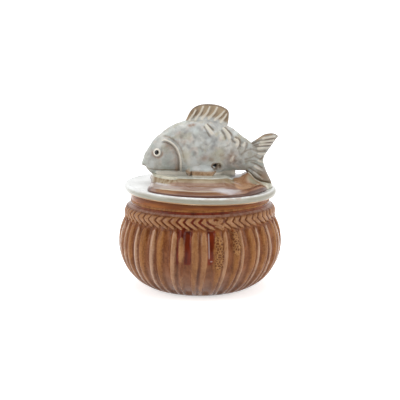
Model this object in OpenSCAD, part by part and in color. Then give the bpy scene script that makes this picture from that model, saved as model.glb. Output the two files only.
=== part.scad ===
// Covered salt cellar in glazed stoneware. The pot is fluted and has a braided band round its shoulder.
// The lid is loose: a flange keeps it central in the neck, and the fish on top is its handle.
// Millimetres, +Z up, origin at the middle of the foot. The fish swims towards -X, its left flank to -Y.

/* [Pot] */
// Widest diameter of the pot, over the ribs between the flutes
pot_d = 102; // [98:1:106]
// Height of the pot to the top of its neck
pot_h = 60; // [59:0.5:62]
// Radius of the belly's rounded side, in section
belly_r = 30.5; // [29.5:0.5:31]
// Thickness of the pot's wall
wall = 4.5; // [3.5:0.5:5.5]
// Thickness of the pot's floor
floor_t = 6; // [5:0.5:8]
// Outside diameter of the neck that the lid rests on
neck_d = 86; // [84:0.5:88]
// Inside diameter of the neck
bore_d = 78; // [74:0.5:79]
// Width of the unglazed ring that the pot stands on
foot_w = 4.5; // [3:0.5:6]
// Depth of the hollow inside the foot ring
foot_recess = 1.5; // [1:0.5:2.5]

/* [Flutes] */
// Number of flutes scooped down the belly
flute_count = 23; // [16:1:24]
// Depth of a flute
flute_depth = 1.2; // [0.6:0.1:1.4]
// Radius of the round gouge that scoops a flute
gouge_r = 5.2; // [4.5:0.1:5.5]

/* [Braid] */
// Number of chevrons in the band
chevron_count = 60; // [40:1:64]
// Height of the band
braid_h = 7.5; // [6.5:0.5:9]
// How far the chevrons stand out of the pot
braid_rise = 0.9; // [0.5:0.1:1.2]

/* [Lid] */
// Diameter of the lid's plate
lid_d = 95; // [92:0.5:98]
// Thickness of the lid's plate
lid_t = 4.5; // [4:0.25:5]
// Depth of the flange that hangs in the neck
flange_h = 7; // [5:0.5:9]
// Thickness of the flange
flange_w = 4.5; // [3:0.5:5]
// Gap round the flange, inside the neck
flange_gap = 1.2; // [0.8:0.1:1.5]

/* [Fish] */
// Thickness of the fish from flank to flank
fish_w = 24; // [22:0.5:26]
// Height of the plinth that the fish lies on, above the plate
plinth_h = 7.4; // [7:0.1:7.8]
// Wall of the hollow fish
fish_wall = 4; // [3:0.5:4.5]
// Diameter of the vent in the fish's flank, which lets steam out in the kiln
vent_d = 2.4; // [1.5:0.1:3]
// Thickness of the dorsal and tail fins
fin_t = 3.4; // [2.6:0.1:4]
// Thickness of the fins under the belly
low_fin_t = 3; // [2.4:0.1:3.6]

/* [Hidden] */
$fn = 96;

// Glaze and clay colours
chestnut = "#8a5a3c";
ochre = "#a9784f";
celadon = "#d9d8cf";
amber = "#a07850";
silver_grey = "#b3b3aa";
cream = "#efe9dc";
black = "#1d1a18";

// Pot, in section: the belly's arc, cut flat at the foot, then the shoulder roll, a bead and the neck
belly_cut = 1;
ring_r = pot_d / 2 - belly_r;
belly_z = belly_r - belly_cut;
roll_r = 6;
roll_inset = 2.8;
roll_drop = 11.5;
roll_c = neck_d / 2 - roll_inset;
roll_z = pot_h - roll_drop;
bead_r = 0.8;
bead_drop = 5;
bead_z = pot_h - bead_drop;
foot_r = ring_r + sqrt(belly_r * belly_r - belly_z * belly_z);

// Flutes: the gouge follows the belly's arc between these angles, seen from the arc's middle
flute_drop = 17;
flute_low = -66;
flute_high = asin((pot_h - flute_drop - belly_z) / belly_r);
gouge_path_r = belly_r + gouge_r - flute_depth;
// How many degrees the flutes on the right are drawn together
flute_crowd = 9;

// Braid: a chevron's pitch, width and lean in degrees, and how deep its clay is pressed into the shoulder
chevron_pitch = 360 / chevron_count;
chevron_width = 0.7 * chevron_pitch;
chevron_lean = 5.2;
chevron_levels = 4;
braid_lift = 0.9;
braid_z = roll_z + braid_lift;
braid_sunk = 0.5;

// Lid: the plate's top, which the plinth and the fish are measured up from, and the flange's outside
plate_top = pot_h + lid_t;
flange_r = bore_d / 2 - flange_gap;

// Plinth, in plan: an oval platform, round about a middle at each end, and a skirt that spreads to the rim
platform_r = 20.5;
platform_x0 = -10;
platform_x1 = 2;
skirt_r = 42.5;
skirt_left = 33;
// How far the skirt reaches out under the tail, and over how many degrees to each side
tail_reach = 2.6;
tail_spread = 15;
ledge_h = 2.8;
// Share of the ledge's height that is left under the tail
tail_ledge = 0.4;
skirt_edge = 0.4;
corner_power = 8;
plinth_steps = 15;
side_steps = 3;
// Rings of the platform's rounded top: distance from the platform's edge, and drop
platform_rings = [[-1.8, 0], [-0.7, 0.4], [0, 1.3]];
// Rings of the wall: share of the way to the wall's foot, and share of the height left
wall_rings = [[0.25, 0.72], [0.5, 0.44], [0.75, 0.18], [1, 0]];
// Rings of the skirt: share of the way from the wall's foot to the edge, and share of the ledge's height
skirt_rings = [[0.12, 0.99], [0.25, 0.98], [0.37, 0.96], [0.5, 0.94], [0.6, 0.9], [0.7, 0.84],
    [0.85, 0.62], [0.95, 0.36], [1, 0]];
// Foot of the wall: share of the way to the skirt's edge, and what the pier to the left of the tail adds to it
wall_foot = 0.2;
pier_foot = 0.6;
// The pier begins and ends at these degrees from the tail, and fades in and out over this many
pier_start = 16;
pier_end = 58;
pier_fade = 10;
// Directions round the plinth, and the middle each is seen from: an end and a side, then the others
plinth_turns = [
    for (end = [0, 1])
    let (turn = 180 * end - 90, x0 = end == 0 ? platform_x1 : platform_x0, x1 = platform_x0 + platform_x1 - x0)
    each concat(
        [for (i = [0 : plinth_steps]) [turn + 180 * i / plinth_steps, x0]],
        [for (i = [1 : side_steps - 1]) [turn + 180, x0 + (x1 - x0) * i / side_steps]]
    )
];
// Height of the crest that carries the tail, along X
crest = [[14, 0], [18.5, 5], [22, 5.5], [24.6, 6], [27.4, 7.8], [29.3, 8.8], [31.2, 7.4], [33.5, 4.7],
    [35.6, 3.1], [38.4, 1.9], [44.3, 1.1], [45.2, 0]];
crest_half = 2.5;
crest_slope = 17;
// Bed of soft clay that the tail is set in
crest_bed = skirt_edge + 0.1;

// Fish, in side view: heights of the back and the belly and share of the full thickness, at places along X
back = [[-36.5, 13.5], [-34.3, 19.5], [-28, 28.9], [-18.6, 36.3], [-9.8, 39.9], [2, 41.1],
    [12, 39.1], [19, 35.7], [27.3, 29.7], [32, 26.3], [38, 24]];
belly = [[-36.5, 11.7], [-34.8, 11], [-33, 9], [-31.4, 7.3], [-29.3, 6.5], [-26, 6.3], [-10, 6.3], [7, 6.4],
    [11.5, 7.9], [16, 9.2], [22, 9.5], [27, 9.7], [31, 10.6], [38, 13.5]];
girth = [[-36.5, 0.1], [-35.6, 0.26], [-34, 0.4], [-28, 0.7], [-18, 0.94], [-6, 1], [6, 0.96],
    [16, 0.77], [24, 0.54], [30, 0.34], [38, 0.09]];
mouth_x = -36.5;
root_x = 38;
section_power = 2.2;
fish_stations = 26;
fish_sides = 24;
// Hollow inside the fish
hollow_x0 = mouth_x + 1.6 * fish_wall;
hollow_x1 = root_x - 3.5 * fish_wall;
hollow_stations = 14;
hollow_sides = 16;
thinnest = 0.5;

// Fins, as outlines in side view that a smooth curve runs through
dorsal = [[-10.6, 38], [-8.9, 42.2], [-7.4, 45.2], [-5.7, 47.4], [-3, 49.2], [0.3, 50.2], [4.5, 50.5],
    [8.4, 50.2], [11.8, 49.4], [14.7, 48], [16.3, 46.6], [17, 44.3], [16.9, 42], [16.4, 39], [15.4, 35.5],
    [11, 33.5], [0, 34]];
tail = [[31.2, 27.3], [34.6, 29.3], [38.3, 31.9], [41, 32.8], [44.1, 33.1], [46.4, 32.4], [47.7, 31.4],
    [45.9, 29], [43.3, 24.9], [40.8, 21.1], [39.5, 18.8], [39, 16.6], [39.3, 13.9], [40.5, 10.4], [42.3, 6.5],
    [44, 3.2], [44.8, 1], [41.2, 1.4], [38.5, 2], [35.2, 3.8], [32.5, 6.5], [30, 9], [28.4, 10.2], [33, 14],
    [34.5, 18], [33.5, 22.5]];
anal = [[9.5, 6.2], [9.5, 8.6], [12, 11], [16.5, 12], [20.2, 10.8], [21, 8.6], [21, 6.2], [15.5, 5.6]];
pelvic = [[-5.8, 6.4], [-5.4, 9.6], [-2.6, 14], [2, 16], [6.8, 14], [8.8, 9.6], [9.2, 6.4], [2, 6]];
curve_steps = 5;
// Pelvic fins: distance of their feet from the middle plane, and how far they lean in
pelvic_y = 9.4;
pelvic_lean = 9;

// Gill cover: the line of its raised edge in side view, the half width, and how far it stands out and is sunk
gill = [[-24.8, 27.9], [-22.3, 28.8], [-19.5, 28.2], [-16.7, 26.5], [-14.5, 23.9], [-13.1, 20.6],
    [-12.3, 17], [-12.1, 13.2], [-12.1, 9.9], [-12.3, 6.5]];
gill_half = 1;
gill_rise = 0.8;
gill_sunk = 0.6;

// Eye and pupil: their place in side view, their radii, and how far they stand out
eye_x = -26.9;
eye_z = 21;
eye_r = 2.35;
eye_rise = 0.7;
pupil_r = 1.2;
pupil_rise = 0.35;

// Vent: its place in the left flank
vent_x = 8.8;
vent_z = 13.4;

function smooth(t) = t <= 0 ? 0 : t >= 1 ? 1 : t * t * (3 - 2 * t);

// Slope of a curve through knots [x, value] at knot i
function knot_slope(k, i) =
    let (a = max(i - 1, 0), b = min(i + 1, len(k) - 1))
    (k[b][1] - k[a][1]) / (k[b][0] - k[a][0]);

// Value at x of the smooth curve through knots [x, value], held level past both ends
function through(k, x, i = 0) =
    x <= k[0][0] ? k[0][1]
    : x >= k[len(k) - 1][0] ? k[len(k) - 1][1]
    : x > k[i + 1][0] ? through(k, x, i + 1)
    : let (w = k[i + 1][0] - k[i][0], t = (x - k[i][0]) / w, u = 1 - t)
      k[i][1] * u * u * (1 + 2 * t) + k[i + 1][1] * t * t * (3 - 2 * t)
      + w * t * u * (knot_slope(k, i) * u - knot_slope(k, i + 1) * t);

// Point a share t of the way from b to c on the smooth curve through a, b, c and d
function between(a, b, c, d, t) =
    b + t / 2 * (c - a) + t * t / 2 * (2 * a - 5 * b + 4 * c - d) + t * t * t / 2 * (3 * b - a - 3 * c + d);

// Points of the closed smooth curve through the points of an outline
function closed_curve(p) = [
    for (i = [0 : len(p) - 1], s = [0 : curve_steps - 1])
    let (n = len(p))
    between(p[(i + n - 1) % n], p[i], p[(i + 1) % n], p[(i + 2) % n], s / curve_steps)
];

// Faces that join rings of n points each into a skin, with the first and last rings closed
function ring_faces(rings, n) = concat(
    [for (r = [0 : rings - 2], i = [0 : n - 1]) each
        [[r * n + i, (r + 1) * n + i, (r + 1) * n + (i + 1) % n],
         [r * n + i, (r + 1) * n + (i + 1) % n, r * n + (i + 1) % n]]],
    [[for (i = [0 : n - 1]) i]],
    [[for (i = [n - 1 : -1 : 0]) (rings - 1) * n + i]]
);

module on_plate() {
    translate([0, 0, plate_top]) children();
}

module on_right_side() {
    mirror([0, 1, 0]) children();
}

// Pot

module pot_section() {
    intersection() {
        translate([ring_r, belly_z]) circle(belly_r);
        square([pot_d, roll_z]);
    }
    square([ring_r, belly_z]);
    translate([roll_c, roll_z]) circle(roll_r);
    translate([0, belly_z]) square([neck_d / 2, pot_h - belly_z]);
    translate([neck_d / 2 - bead_r / 2, bead_z]) circle(bead_r);
}

module hollow_section() {
    intersection() {
        translate([ring_r, belly_z]) circle(belly_r - wall);
        translate([0, floor_t]) square([pot_d, pot_h]);
    }
    translate([0, floor_t]) square([ring_r, belly_z]);
    translate([0, belly_z]) square([bore_d / 2, pot_h]);
}

// Direction of a flute from the front. Those on the fish's tail side were scooped closer together.
function flute_turn(i) =
    let (turn = 360 / flute_count * (i + 0.5))
    turn - flute_crowd * smooth((turn - 10) / 70) * smooth((240 - turn) / 150);

module flute() {
    translate([ring_r, 0, belly_z])
        rotate([90, 0, 0])
            rotate([0, 0, flute_low])
                rotate_extrude(angle = flute_high - flute_low)
                    translate([gouge_path_r, 0]) circle(gouge_r);
}

module pot_body() {
    color(chestnut)
        difference() {
            rotate_extrude()
                difference() {
                    pot_section();
                    hollow_section();
                    square([foot_r - foot_w, foot_recess]);
                }
            for (i = [0 : flute_count - 1])
                rotate([0, 0, flute_turn(i) - 90])
                    flute();
        }
}

// Braid band

// Outside radius of the shoulder at height z
function shoulder_r(z) =
    max(ring_r + sqrt(max(0, belly_r * belly_r - pow(z - belly_z, 2))),
        roll_c + sqrt(max(0, roll_r * roll_r - pow(z - roll_z, 2))));

// Corner of a chevron, on its leading (0) or trailing (1) side, at a share of its height
function chevron_corner(side, level, out) =
    let (z = braid_z + (level - 0.5) * braid_h,
        r = shoulder_r(z) + out,
        a = chevron_lean * abs(2 * level - 1) + side * chevron_width)
    [r * cos(a), r * sin(a), z];

module chevron() {
    points = [
        for (k = [0 : chevron_levels]) each
        let (level = k / chevron_levels)
        [chevron_corner(0, level, -braid_sunk), chevron_corner(1, level, -braid_sunk),
         chevron_corner(1, level, braid_rise), chevron_corner(0, level, braid_rise)]
    ];
    polyhedron(points, ring_faces(chevron_levels + 1, 4));
}

module braid_band() {
    color(ochre)
        for (i = [0 : chevron_count - 1])
            rotate([0, 0, chevron_pitch * i])
                chevron();
}

// Lid

module lid_plate() {
    color(celadon)
        translate([0, 0, pot_h])
            rotate_extrude() {
                square([(lid_d - lid_t) / 2, lid_t]);
                translate([(lid_d - lid_t) / 2, lid_t / 2]) circle(lid_t / 2);
            }
}

module lid_flange() {
    color(ochre)
        translate([0, 0, pot_h - flange_h])
            rotate_extrude()
                translate([flange_r - flange_w, 0]) square([flange_w, flange_h]);
}

// Plinth

function platform_point(turn, distance) =
    [turn[1] + (platform_r + distance) * cos(turn[0]), (platform_r + distance) * sin(turn[0])];

// Edge of the skirt beyond a point of the platform's edge: a circle about the lid, drawn in on the left
function skirt_point(turn) =
    let (p = platform_point(turn, 0), a = atan2(p[1], p[0]),
        drawn_in = max(0, -cos(a)) / skirt_left,
        r = pow(pow(1 / skirt_r, corner_power) + pow(drawn_in, corner_power), -1 / corner_power)
            + tail_reach * smooth(1 - abs(a) / tail_spread))
    [r * cos(a), r * sin(a)];

// Foot of the wall beyond a point of the platform's edge, as a share of the way to the skirt's edge
function foot_share(p) =
    let (a = -atan2(p[1], p[0]))
    wall_foot + pier_foot * smooth((pier_end - a) / pier_fade) * smooth((a - pier_start) / pier_fade);

// Share of the ledge's height beyond a point of the platform's edge
function ledge_share(p) =
    1 - (1 - tail_ledge) * smooth(1 - abs(atan2(p[1], p[0])) / tail_spread);

function crest_height(p) =
    through(crest, p[0]) * smooth(1 - (abs(p[1]) - crest_half) / crest_slope);

function plinth_point(p, height) = [p[0], p[1], max(height, crest_height(p))];

module fish_plinth() {
    wall_h = plinth_h - platform_rings[len(platform_rings) - 1][1] - ledge_h;
    platform = [
        for (ring = platform_rings, turn = plinth_turns)
        plinth_point(platform_point(turn, ring[0]), plinth_h - ring[1])
    ];
    wall = [
        for (ring = wall_rings, turn = plinth_turns)
        let (a = platform_point(turn, 0), b = skirt_point(turn))
        plinth_point(a + ring[0] * foot_share(a) * (b - a), ledge_h + ring[1] * wall_h)
    ];
    skirt = [
        for (ring = skirt_rings, turn = plinth_turns)
        let (a = platform_point(turn, 0), b = skirt_point(turn), foot = foot_share(a),
            p = a + (foot + ring[0] * (1 - foot)) * (b - a))
        ring[0] == 1 ? [p[0], p[1], skirt_edge]
        : plinth_point(p, skirt_edge + ring[1] * ledge_share(a) * (ledge_h - skirt_edge))
    ];
    underside = [for (turn = plinth_turns) let (p = skirt_point(turn)) [p[0], p[1], 0]];
    color(amber)
        on_plate()
            polyhedron(concat(platform, wall, skirt, underside),
                ring_faces(len(platform_rings) + len(wall_rings) + len(skirt_rings) + 1, len(plinth_turns)));
}

// Everything below the platform's flat top, which the fish and its lower fins are set on
module below_platform() {
    translate([-lid_d / 2, -lid_d / 2, -lid_t]) cube([lid_d, lid_d, lid_t + plinth_h]);
}

// Everything under the crest's top line, which the tail's lower lobe is set on
module below_crest() {
    x0 = crest[0][0];
    rotate([90, 0, 0])
        linear_extrude(2 * crest_half, center = true)
            polygon(concat(
                [for (x = [x0 : 1 : lid_d / 2]) [x, crest_bed + through(crest, x)]],
                [[lid_d / 2, -lid_t], [x0, -lid_t]]
            ));
}

// Fish

// Section at x: middle height, half height and half thickness, less an inset
function section_mid(x) = (through(back, x) + through(belly, x)) / 2;
function section_half(x, inset = 0) = max(thinnest, (through(back, x) - through(belly, x)) / 2 - inset);
function section_flank(x, inset = 0) = max(thinnest, through(girth, x) * fish_w / 2 - inset);

// Point on the section's rounded outline at an angle
function on_section(x, angle, inset) =
    let (c = cos(angle), s = sin(angle), p = 2 / section_power)
    [x, section_flank(x, inset) * sign(c) * pow(abs(c), p),
        section_mid(x) + section_half(x, inset) * sign(s) * pow(abs(s), p)];

// How far the flank stands from the middle plane at a place in side view
function flank_y(x, z) =
    let (h = min(1, abs(z - section_mid(x)) / section_half(x)))
    section_flank(x) * pow(1 - pow(h, section_power), 1 / section_power);

module fish_loft(x0, x1, stations, sides, inset) {
    points = [
        for (i = [0 : stations - 1], j = [0 : sides - 1])
        on_section((x0 + x1) / 2 - (x1 - x0) / 2 * cos(180 * i / (stations - 1)), 360 * j / sides, inset)
    ];
    polyhedron(points, ring_faces(stations, sides));
}

module fish_outside() {
    fish_loft(mouth_x, root_x, fish_stations, fish_sides, 0);
}

module fish_body() {
    color(silver_grey)
        on_plate()
            difference() {
                fish_outside();
                fish_loft(hollow_x0, hollow_x1, hollow_stations, hollow_sides, fish_wall);
                translate([vent_x, 0, vent_z]) rotate([90, 0, 0]) cylinder(h = fish_w, d = vent_d);
                below_platform();
            }
}

// Raised edge of the gill cover, laid on the left flank
module gill_ridge() {
    path = [for (i = [0 : len(gill) - 2], s = [0, 0.5]) gill[i] * (1 - s) + gill[i + 1] * s];
    function across(i) =
        let (d = path[min(i + 1, len(path) - 1)] - path[max(i - 1, 0)])
        [-d[1], d[0]] / norm(d);
    function ridge_point(i, side, out) =
        let (p = path[i] + side * across(i))
        [p[0], -flank_y(p[0], p[1]) - out, p[1]];
    points = [
        for (i = [0 : len(path) - 1]) each
        [ridge_point(i, -gill_half, -gill_sunk), ridge_point(i, -gill_half / 2, gill_rise),
         ridge_point(i, gill_half / 2, gill_rise), ridge_point(i, gill_half, -gill_sunk)]
    ];
    on_plate()
        difference() {
            polyhedron(points, ring_faces(len(path), 4));
            fish_outside();
            below_platform();
        }
}

module left_gill_cover() {
    color(silver_grey) gill_ridge();
}

module right_gill_cover() {
    color(silver_grey) on_right_side() gill_ridge();
}

// Fins

// Slab of clay in the fish's middle plane, from an outline in side view
module upright(outline, thickness) {
    rotate([90, 0, 0])
        linear_extrude(thickness, center = true)
            polygon(closed_curve(outline));
}

module dorsal_fin() {
    color(amber)
        on_plate()
            difference() {
                upright(dorsal, fin_t);
                fish_outside();
            }
}

module tail_fin() {
    color(silver_grey)
        on_plate()
            difference() {
                upright(tail, fin_t);
                fish_outside();
                below_crest();
            }
}

module anal_fin() {
    color(silver_grey)
        on_plate()
            difference() {
                upright(anal, low_fin_t);
                fish_outside();
                below_platform();
            }
}

// Fin that hangs from the left flank down to the plinth
module pelvic_fin() {
    on_plate()
        difference() {
            translate([0, -pelvic_y, plinth_h])
                rotate([pelvic_lean, 0, 0])
                    translate([0, 0, -plinth_h])
                        upright(pelvic, low_fin_t);
            fish_outside();
            below_platform();
        }
}

module left_pelvic_fin() {
    color(silver_grey) pelvic_fin();
}

module right_pelvic_fin() {
    color(silver_grey) on_right_side() pelvic_fin();
}

// Eyes

// Direction in which the left flank faces at the eye
eye_step = 0.1;
eye_y = flank_y(eye_x, eye_z);
eye_out = let (n = [
        (eye_y - flank_y(eye_x + eye_step, eye_z)) / eye_step,
        -1,
        (eye_y - flank_y(eye_x, eye_z + eye_step)) / eye_step
    ]) n / norm(n);

// Ball whose cap of radius r stands out of the left flank by rise, on top of what stands out by base
module flank_cap(r, rise, base) {
    ball_r = (r * r + rise * rise) / (2 * rise);
    translate([eye_x, -eye_y, eye_z] + (base + rise - ball_r) * eye_out) sphere(ball_r);
}

module eye() {
    on_plate()
        difference() {
            flank_cap(eye_r, eye_rise, 0);
            fish_outside();
        }
}

module pupil() {
    on_plate()
        difference() {
            flank_cap(pupil_r, pupil_rise, eye_rise);
            flank_cap(eye_r, eye_rise, 0);
            fish_outside();
        }
}

module left_eye() {
    color(cream) eye();
}

module right_eye() {
    color(cream) on_right_side() eye();
}

module left_pupil() {
    color(black) pupil();
}

module right_pupil() {
    color(black) on_right_side() pupil();
}

pot_body();
braid_band();
lid_plate();
lid_flange();
fish_plinth();
fish_body();
left_gill_cover();
right_gill_cover();
dorsal_fin();
tail_fin();
anal_fin();
left_pelvic_fin();
right_pelvic_fin();
left_eye();
right_eye();
left_pupil();
right_pupil();
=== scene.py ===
import math

import bmesh
import bpy
import numpy as np
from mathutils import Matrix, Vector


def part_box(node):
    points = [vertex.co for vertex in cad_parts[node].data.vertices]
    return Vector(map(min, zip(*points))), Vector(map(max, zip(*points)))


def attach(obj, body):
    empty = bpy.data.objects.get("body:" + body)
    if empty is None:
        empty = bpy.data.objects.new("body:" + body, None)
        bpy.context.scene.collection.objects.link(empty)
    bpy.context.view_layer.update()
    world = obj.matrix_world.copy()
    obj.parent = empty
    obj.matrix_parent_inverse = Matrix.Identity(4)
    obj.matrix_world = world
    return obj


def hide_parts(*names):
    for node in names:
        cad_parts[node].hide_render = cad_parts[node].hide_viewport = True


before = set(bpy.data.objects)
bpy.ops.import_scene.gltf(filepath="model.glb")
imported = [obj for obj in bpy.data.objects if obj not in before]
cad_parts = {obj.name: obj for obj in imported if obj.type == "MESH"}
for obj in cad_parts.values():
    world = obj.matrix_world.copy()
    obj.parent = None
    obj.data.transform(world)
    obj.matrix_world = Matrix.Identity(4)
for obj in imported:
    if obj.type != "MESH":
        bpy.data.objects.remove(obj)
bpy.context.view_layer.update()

# Studio: a pale table under an overhead softbox and two side softboxes, with a dim room behind the camera.
# The camera stands a little above the lid and sees the fish from its left side.
MM = 0.001
view_rise = math.radians(11)
view_distance = 0.85
view_span = 0.25
aim = np.array([0, 0, 0.05455])
away = np.array([0, -math.cos(view_rise), math.sin(view_rise)])

camera = bpy.data.objects.new("camera", bpy.data.cameras.new("camera"))
camera.location = aim + view_distance * away
camera.rotation_euler = (math.pi / 2 - view_rise, 0, 0)
camera.data.lens = camera.data.sensor_width * view_distance / view_span
bpy.context.scene.collection.objects.link(camera)
bpy.context.scene.camera = camera
bpy.context.scene.view_settings.view_transform = "Standard"


class Shade:
    """One output of a shader tree. Python's operators on it add Math nodes."""

    def __init__(self, tree, output=None):
        self.tree = tree
        self.output = output

    def node(self, kind, settings=None, inputs=None, output=0):
        made = self.tree.nodes.new("ShaderNode" + kind)
        for name, value in (settings or {}).items():
            setattr(made, name, value)
        for name, value in (inputs or {}).items():
            if isinstance(value, Shade):
                self.tree.links.new(value.output, made.inputs[name])
            else:
                made.inputs[name].default_value = value
        return Shade(self.tree, made.outputs[output] if made.outputs else None)

    def math(self, operation, first, second):
        return self.node("Math", {"operation": operation}, {0: first, 1: second})

    def __add__(self, other):
        return self.math("ADD", self, other)

    def __sub__(self, other):
        return self.math("SUBTRACT", self, other)

    def __rsub__(self, other):
        return self.math("SUBTRACT", other, self)

    def __mul__(self, other):
        return self.math("MULTIPLY", self, other)

    __radd__ = __add__
    __rmul__ = __mul__

    def most(self, other):
        return self.math("MAXIMUM", self, other)

    def ease(self, low, high):
        """0 below low, 1 above high, and a smooth rise between."""
        return self.node("MapRange", {"interpolation_type": "SMOOTHSTEP"},
                         {"Value": self, "From Min": low, "From Max": high})

    def mix(self, first, second):
        """A colour that goes from first to second as this goes from 0 to 1."""
        return self.node("Mix", {"data_type": "RGBA"}, {0: self, 6: first, 7: second}, 2)

    def tones(self, first, second, low=0.35, high=0.65):
        """A mix of two screen colours, the first where this is low and the second where it is high."""
        return self.ease(low, high).mix(rgb(*first), rgb(*second))

    def noise(self, size, detail=3.0, roughness=0.5, distortion=0.0, stretch=(1, 1, 1)):
        """Cloudy noise with patches about size millimetres across."""
        place = self.node("TexCoord", output="Object")
        place = self.node("VectorMath", {"operation": "MULTIPLY"}, {0: place, 1: stretch})
        return self.node("TexNoise", None, {"Vector": place, "Scale": 1 / (size * MM), "Detail": detail,
                                            "Roughness": roughness, "Distortion": distortion})

    def painted(self, attribute):
        """A value that the mesh carries at its points."""
        return self.node("Attribute", {"attribute_name": attribute}, output="Fac")

    def patch(self, attribute, low, high, *grains):
        """A painted value with a ragged edge. Each grain says how far a noise shifts it, and which."""
        value = self.painted(attribute)
        for much, noise in grains:
            value = value + much * (noise - 0.5)
        return value.ease(low, high)


def rgb(red, green, blue):
    """A shader colour from screen values of 0 to 255."""
    screen = np.array([red, green, blue]) / 255
    return (*np.where(screen < 0.04045, screen / 12.92, ((screen + 0.055) / 1.055) ** 2.4), 1)


def start_material(name):
    material = bpy.data.materials.new(name)
    material.use_nodes = True
    material.node_tree.nodes.clear()
    return material, Shade(material.node_tree)


table_half = 8.0
table_mesh = bpy.data.meshes.new("table")
table_mesh.from_pydata([(x * table_half, y * table_half, 0) for x, y in ((-1, -1), (1, -1), (1, 1), (-1, 1))],
                       [], [(0, 1, 2, 3)])
table = bpy.data.objects.new("table", table_mesh)
bpy.context.scene.collection.objects.link(table)
table_material, shade = start_material("pale_table")
table_glow = 0.6
path = {ray: shade.node("LightPath", output=ray)
        for ray in ("Is Camera Ray", "Is Glossy Ray", "Is Transmission Ray")}
seen = path["Is Camera Ray"].most(path["Is Glossy Ray"]).most(path["Is Transmission Ray"])
shade.node("OutputMaterial", inputs={"Surface": shade.node("BsdfPrincipled", inputs={
    "Base Color": (0.93, 0.93, 0.93, 1), "Roughness": 0.9, "Specular IOR Level": 0.0,
    "Emission Color": seen.mix((0, 0, 0, 1), (1, 1, 1, 1)), "Emission Strength": table_glow})})
table.data.materials.append(table_material)

room_light = 0.62
room_dim = 0.28
world = bpy.data.worlds.new("studio")
world.use_nodes = True
world.node_tree.nodes.clear()
bpy.context.scene.world = world
shade = Shade(world.node_tree)
toward = shade.node("SeparateXYZ", inputs={0: shade.node("TexCoord", output="Generated")}, output="Y")
room = room_dim + (room_light - room_dim) * toward.ease(-0.9, -0.2)
backdrop = shade.node("LightPath", output="Is Glossy Ray") * toward.ease(-0.6, 0.1)
strength = room.most(backdrop).most(shade.node("LightPath", output="Is Camera Ray"))
shade.node("OutputWorld", inputs={"Surface": shade.node("Background", inputs={
    "Color": (1, 1, 1, 1), "Strength": strength})})

softboxes = {
    "overhead": ((0.0, 0.15, 1.1), (1.0, 0.8), 5.5),
    "left": ((-0.95, -0.45, 0.5), (0.5, 0.9), 5.0),
    "right": ((0.95, -0.45, 0.5), (0.5, 0.9), 4.5),
}
for name, (place, size, power) in softboxes.items():
    lamp = bpy.data.lights.new("softbox_" + name, "AREA")
    lamp.shape = "RECTANGLE"
    lamp.size, lamp.size_y = size
    lamp.energy = power
    box = bpy.data.objects.new(lamp.name, lamp)
    box.location = place
    toward_pot = aim - np.array(place)
    box.rotation_euler = (math.atan2(math.hypot(*toward_pot[:2]), -toward_pot[2]), 0,
                          math.atan2(toward_pot[1], toward_pot[0]) - math.pi / 2)
    bpy.context.scene.collection.objects.link(box)

# Pot: a thrown stoneware bowl with a round belly, a rolled shoulder and a short upright neck for the lid.
# Flutes were scooped down the belly with a round gouge, and each rib left between them was scored into two.
# Chestnut glaze pools dark in the flutes and breaks to tan on the ribs, with painted sheen, reflections and
# shade over it. The foot ring was wiped bare.

# Sizes are in millimetres. The belly and the hollow are arcs about one ring, and the shoulder is a roll.
pot_low, pot_high = (np.array(corner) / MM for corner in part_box("pot_body"))
pot_r = (pot_high[0] - pot_low[0]) / 2
neck_top = pot_high[2]
belly_r = 30.5
belly_z = belly_r - 1
ring_r = pot_r - belly_r
roll_r, roll_out, roll_z = 6.0, 40.2, neck_top - 11.5
neck_r = 43.0
bore_r = 39.0
rim_round, foot_round, floor_round = 0.7, 0.6, 3.4
hollow_r = 26.0
floor_z = 6.0
foot_inner = 23.75
foot_recess = 1.5
bead_r, bead_z = 0.8, neck_top - 4.3
rng = np.random.default_rng(23)


def smooth(t):
    t = np.clip(t, 0, 1)
    return t * t * (3 - 2 * t)


def past(value, start, run):
    """0 up to start, 1 from run beyond it, and a smooth rise between."""
    return smooth((value - start) / run)


def short_of(value, end, run):
    """1 until run before end, 0 from end on, and a smooth fall between."""
    return smooth((end - value) / run)


def hill(distance, width):
    """A smooth hill of height 1 at distance 0."""
    return np.exp(-(distance / width) ** 2)


def arc(centre, radius, start, end, count):
    """Points (radius from the axis, height) on an arc, with its angles in degrees."""
    turn = np.radians(np.linspace(start, end, count))
    return np.stack([centre[0] + radius * np.cos(turn), centre[1] + radius * np.sin(turn)], 1)


def line(start, end, count):
    return np.linspace(start, end, count)


# The neck's rim is out of level, lower on the right. The lid's plate follows it, and the fish leans less.
rim_lean, lid_lean = math.radians(2.0), math.radians(1.2)


def settle(points):
    """Turn points of the lid to lie on the rim."""
    across, above = points[:, :, 0], points[:, :, 2] - neck_top
    return np.stack([across * math.cos(lid_lean) + above * math.sin(lid_lean), points[:, :, 1],
                     neck_top - across * math.sin(lid_lean) + above * math.cos(lid_lean)], 2)


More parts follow.
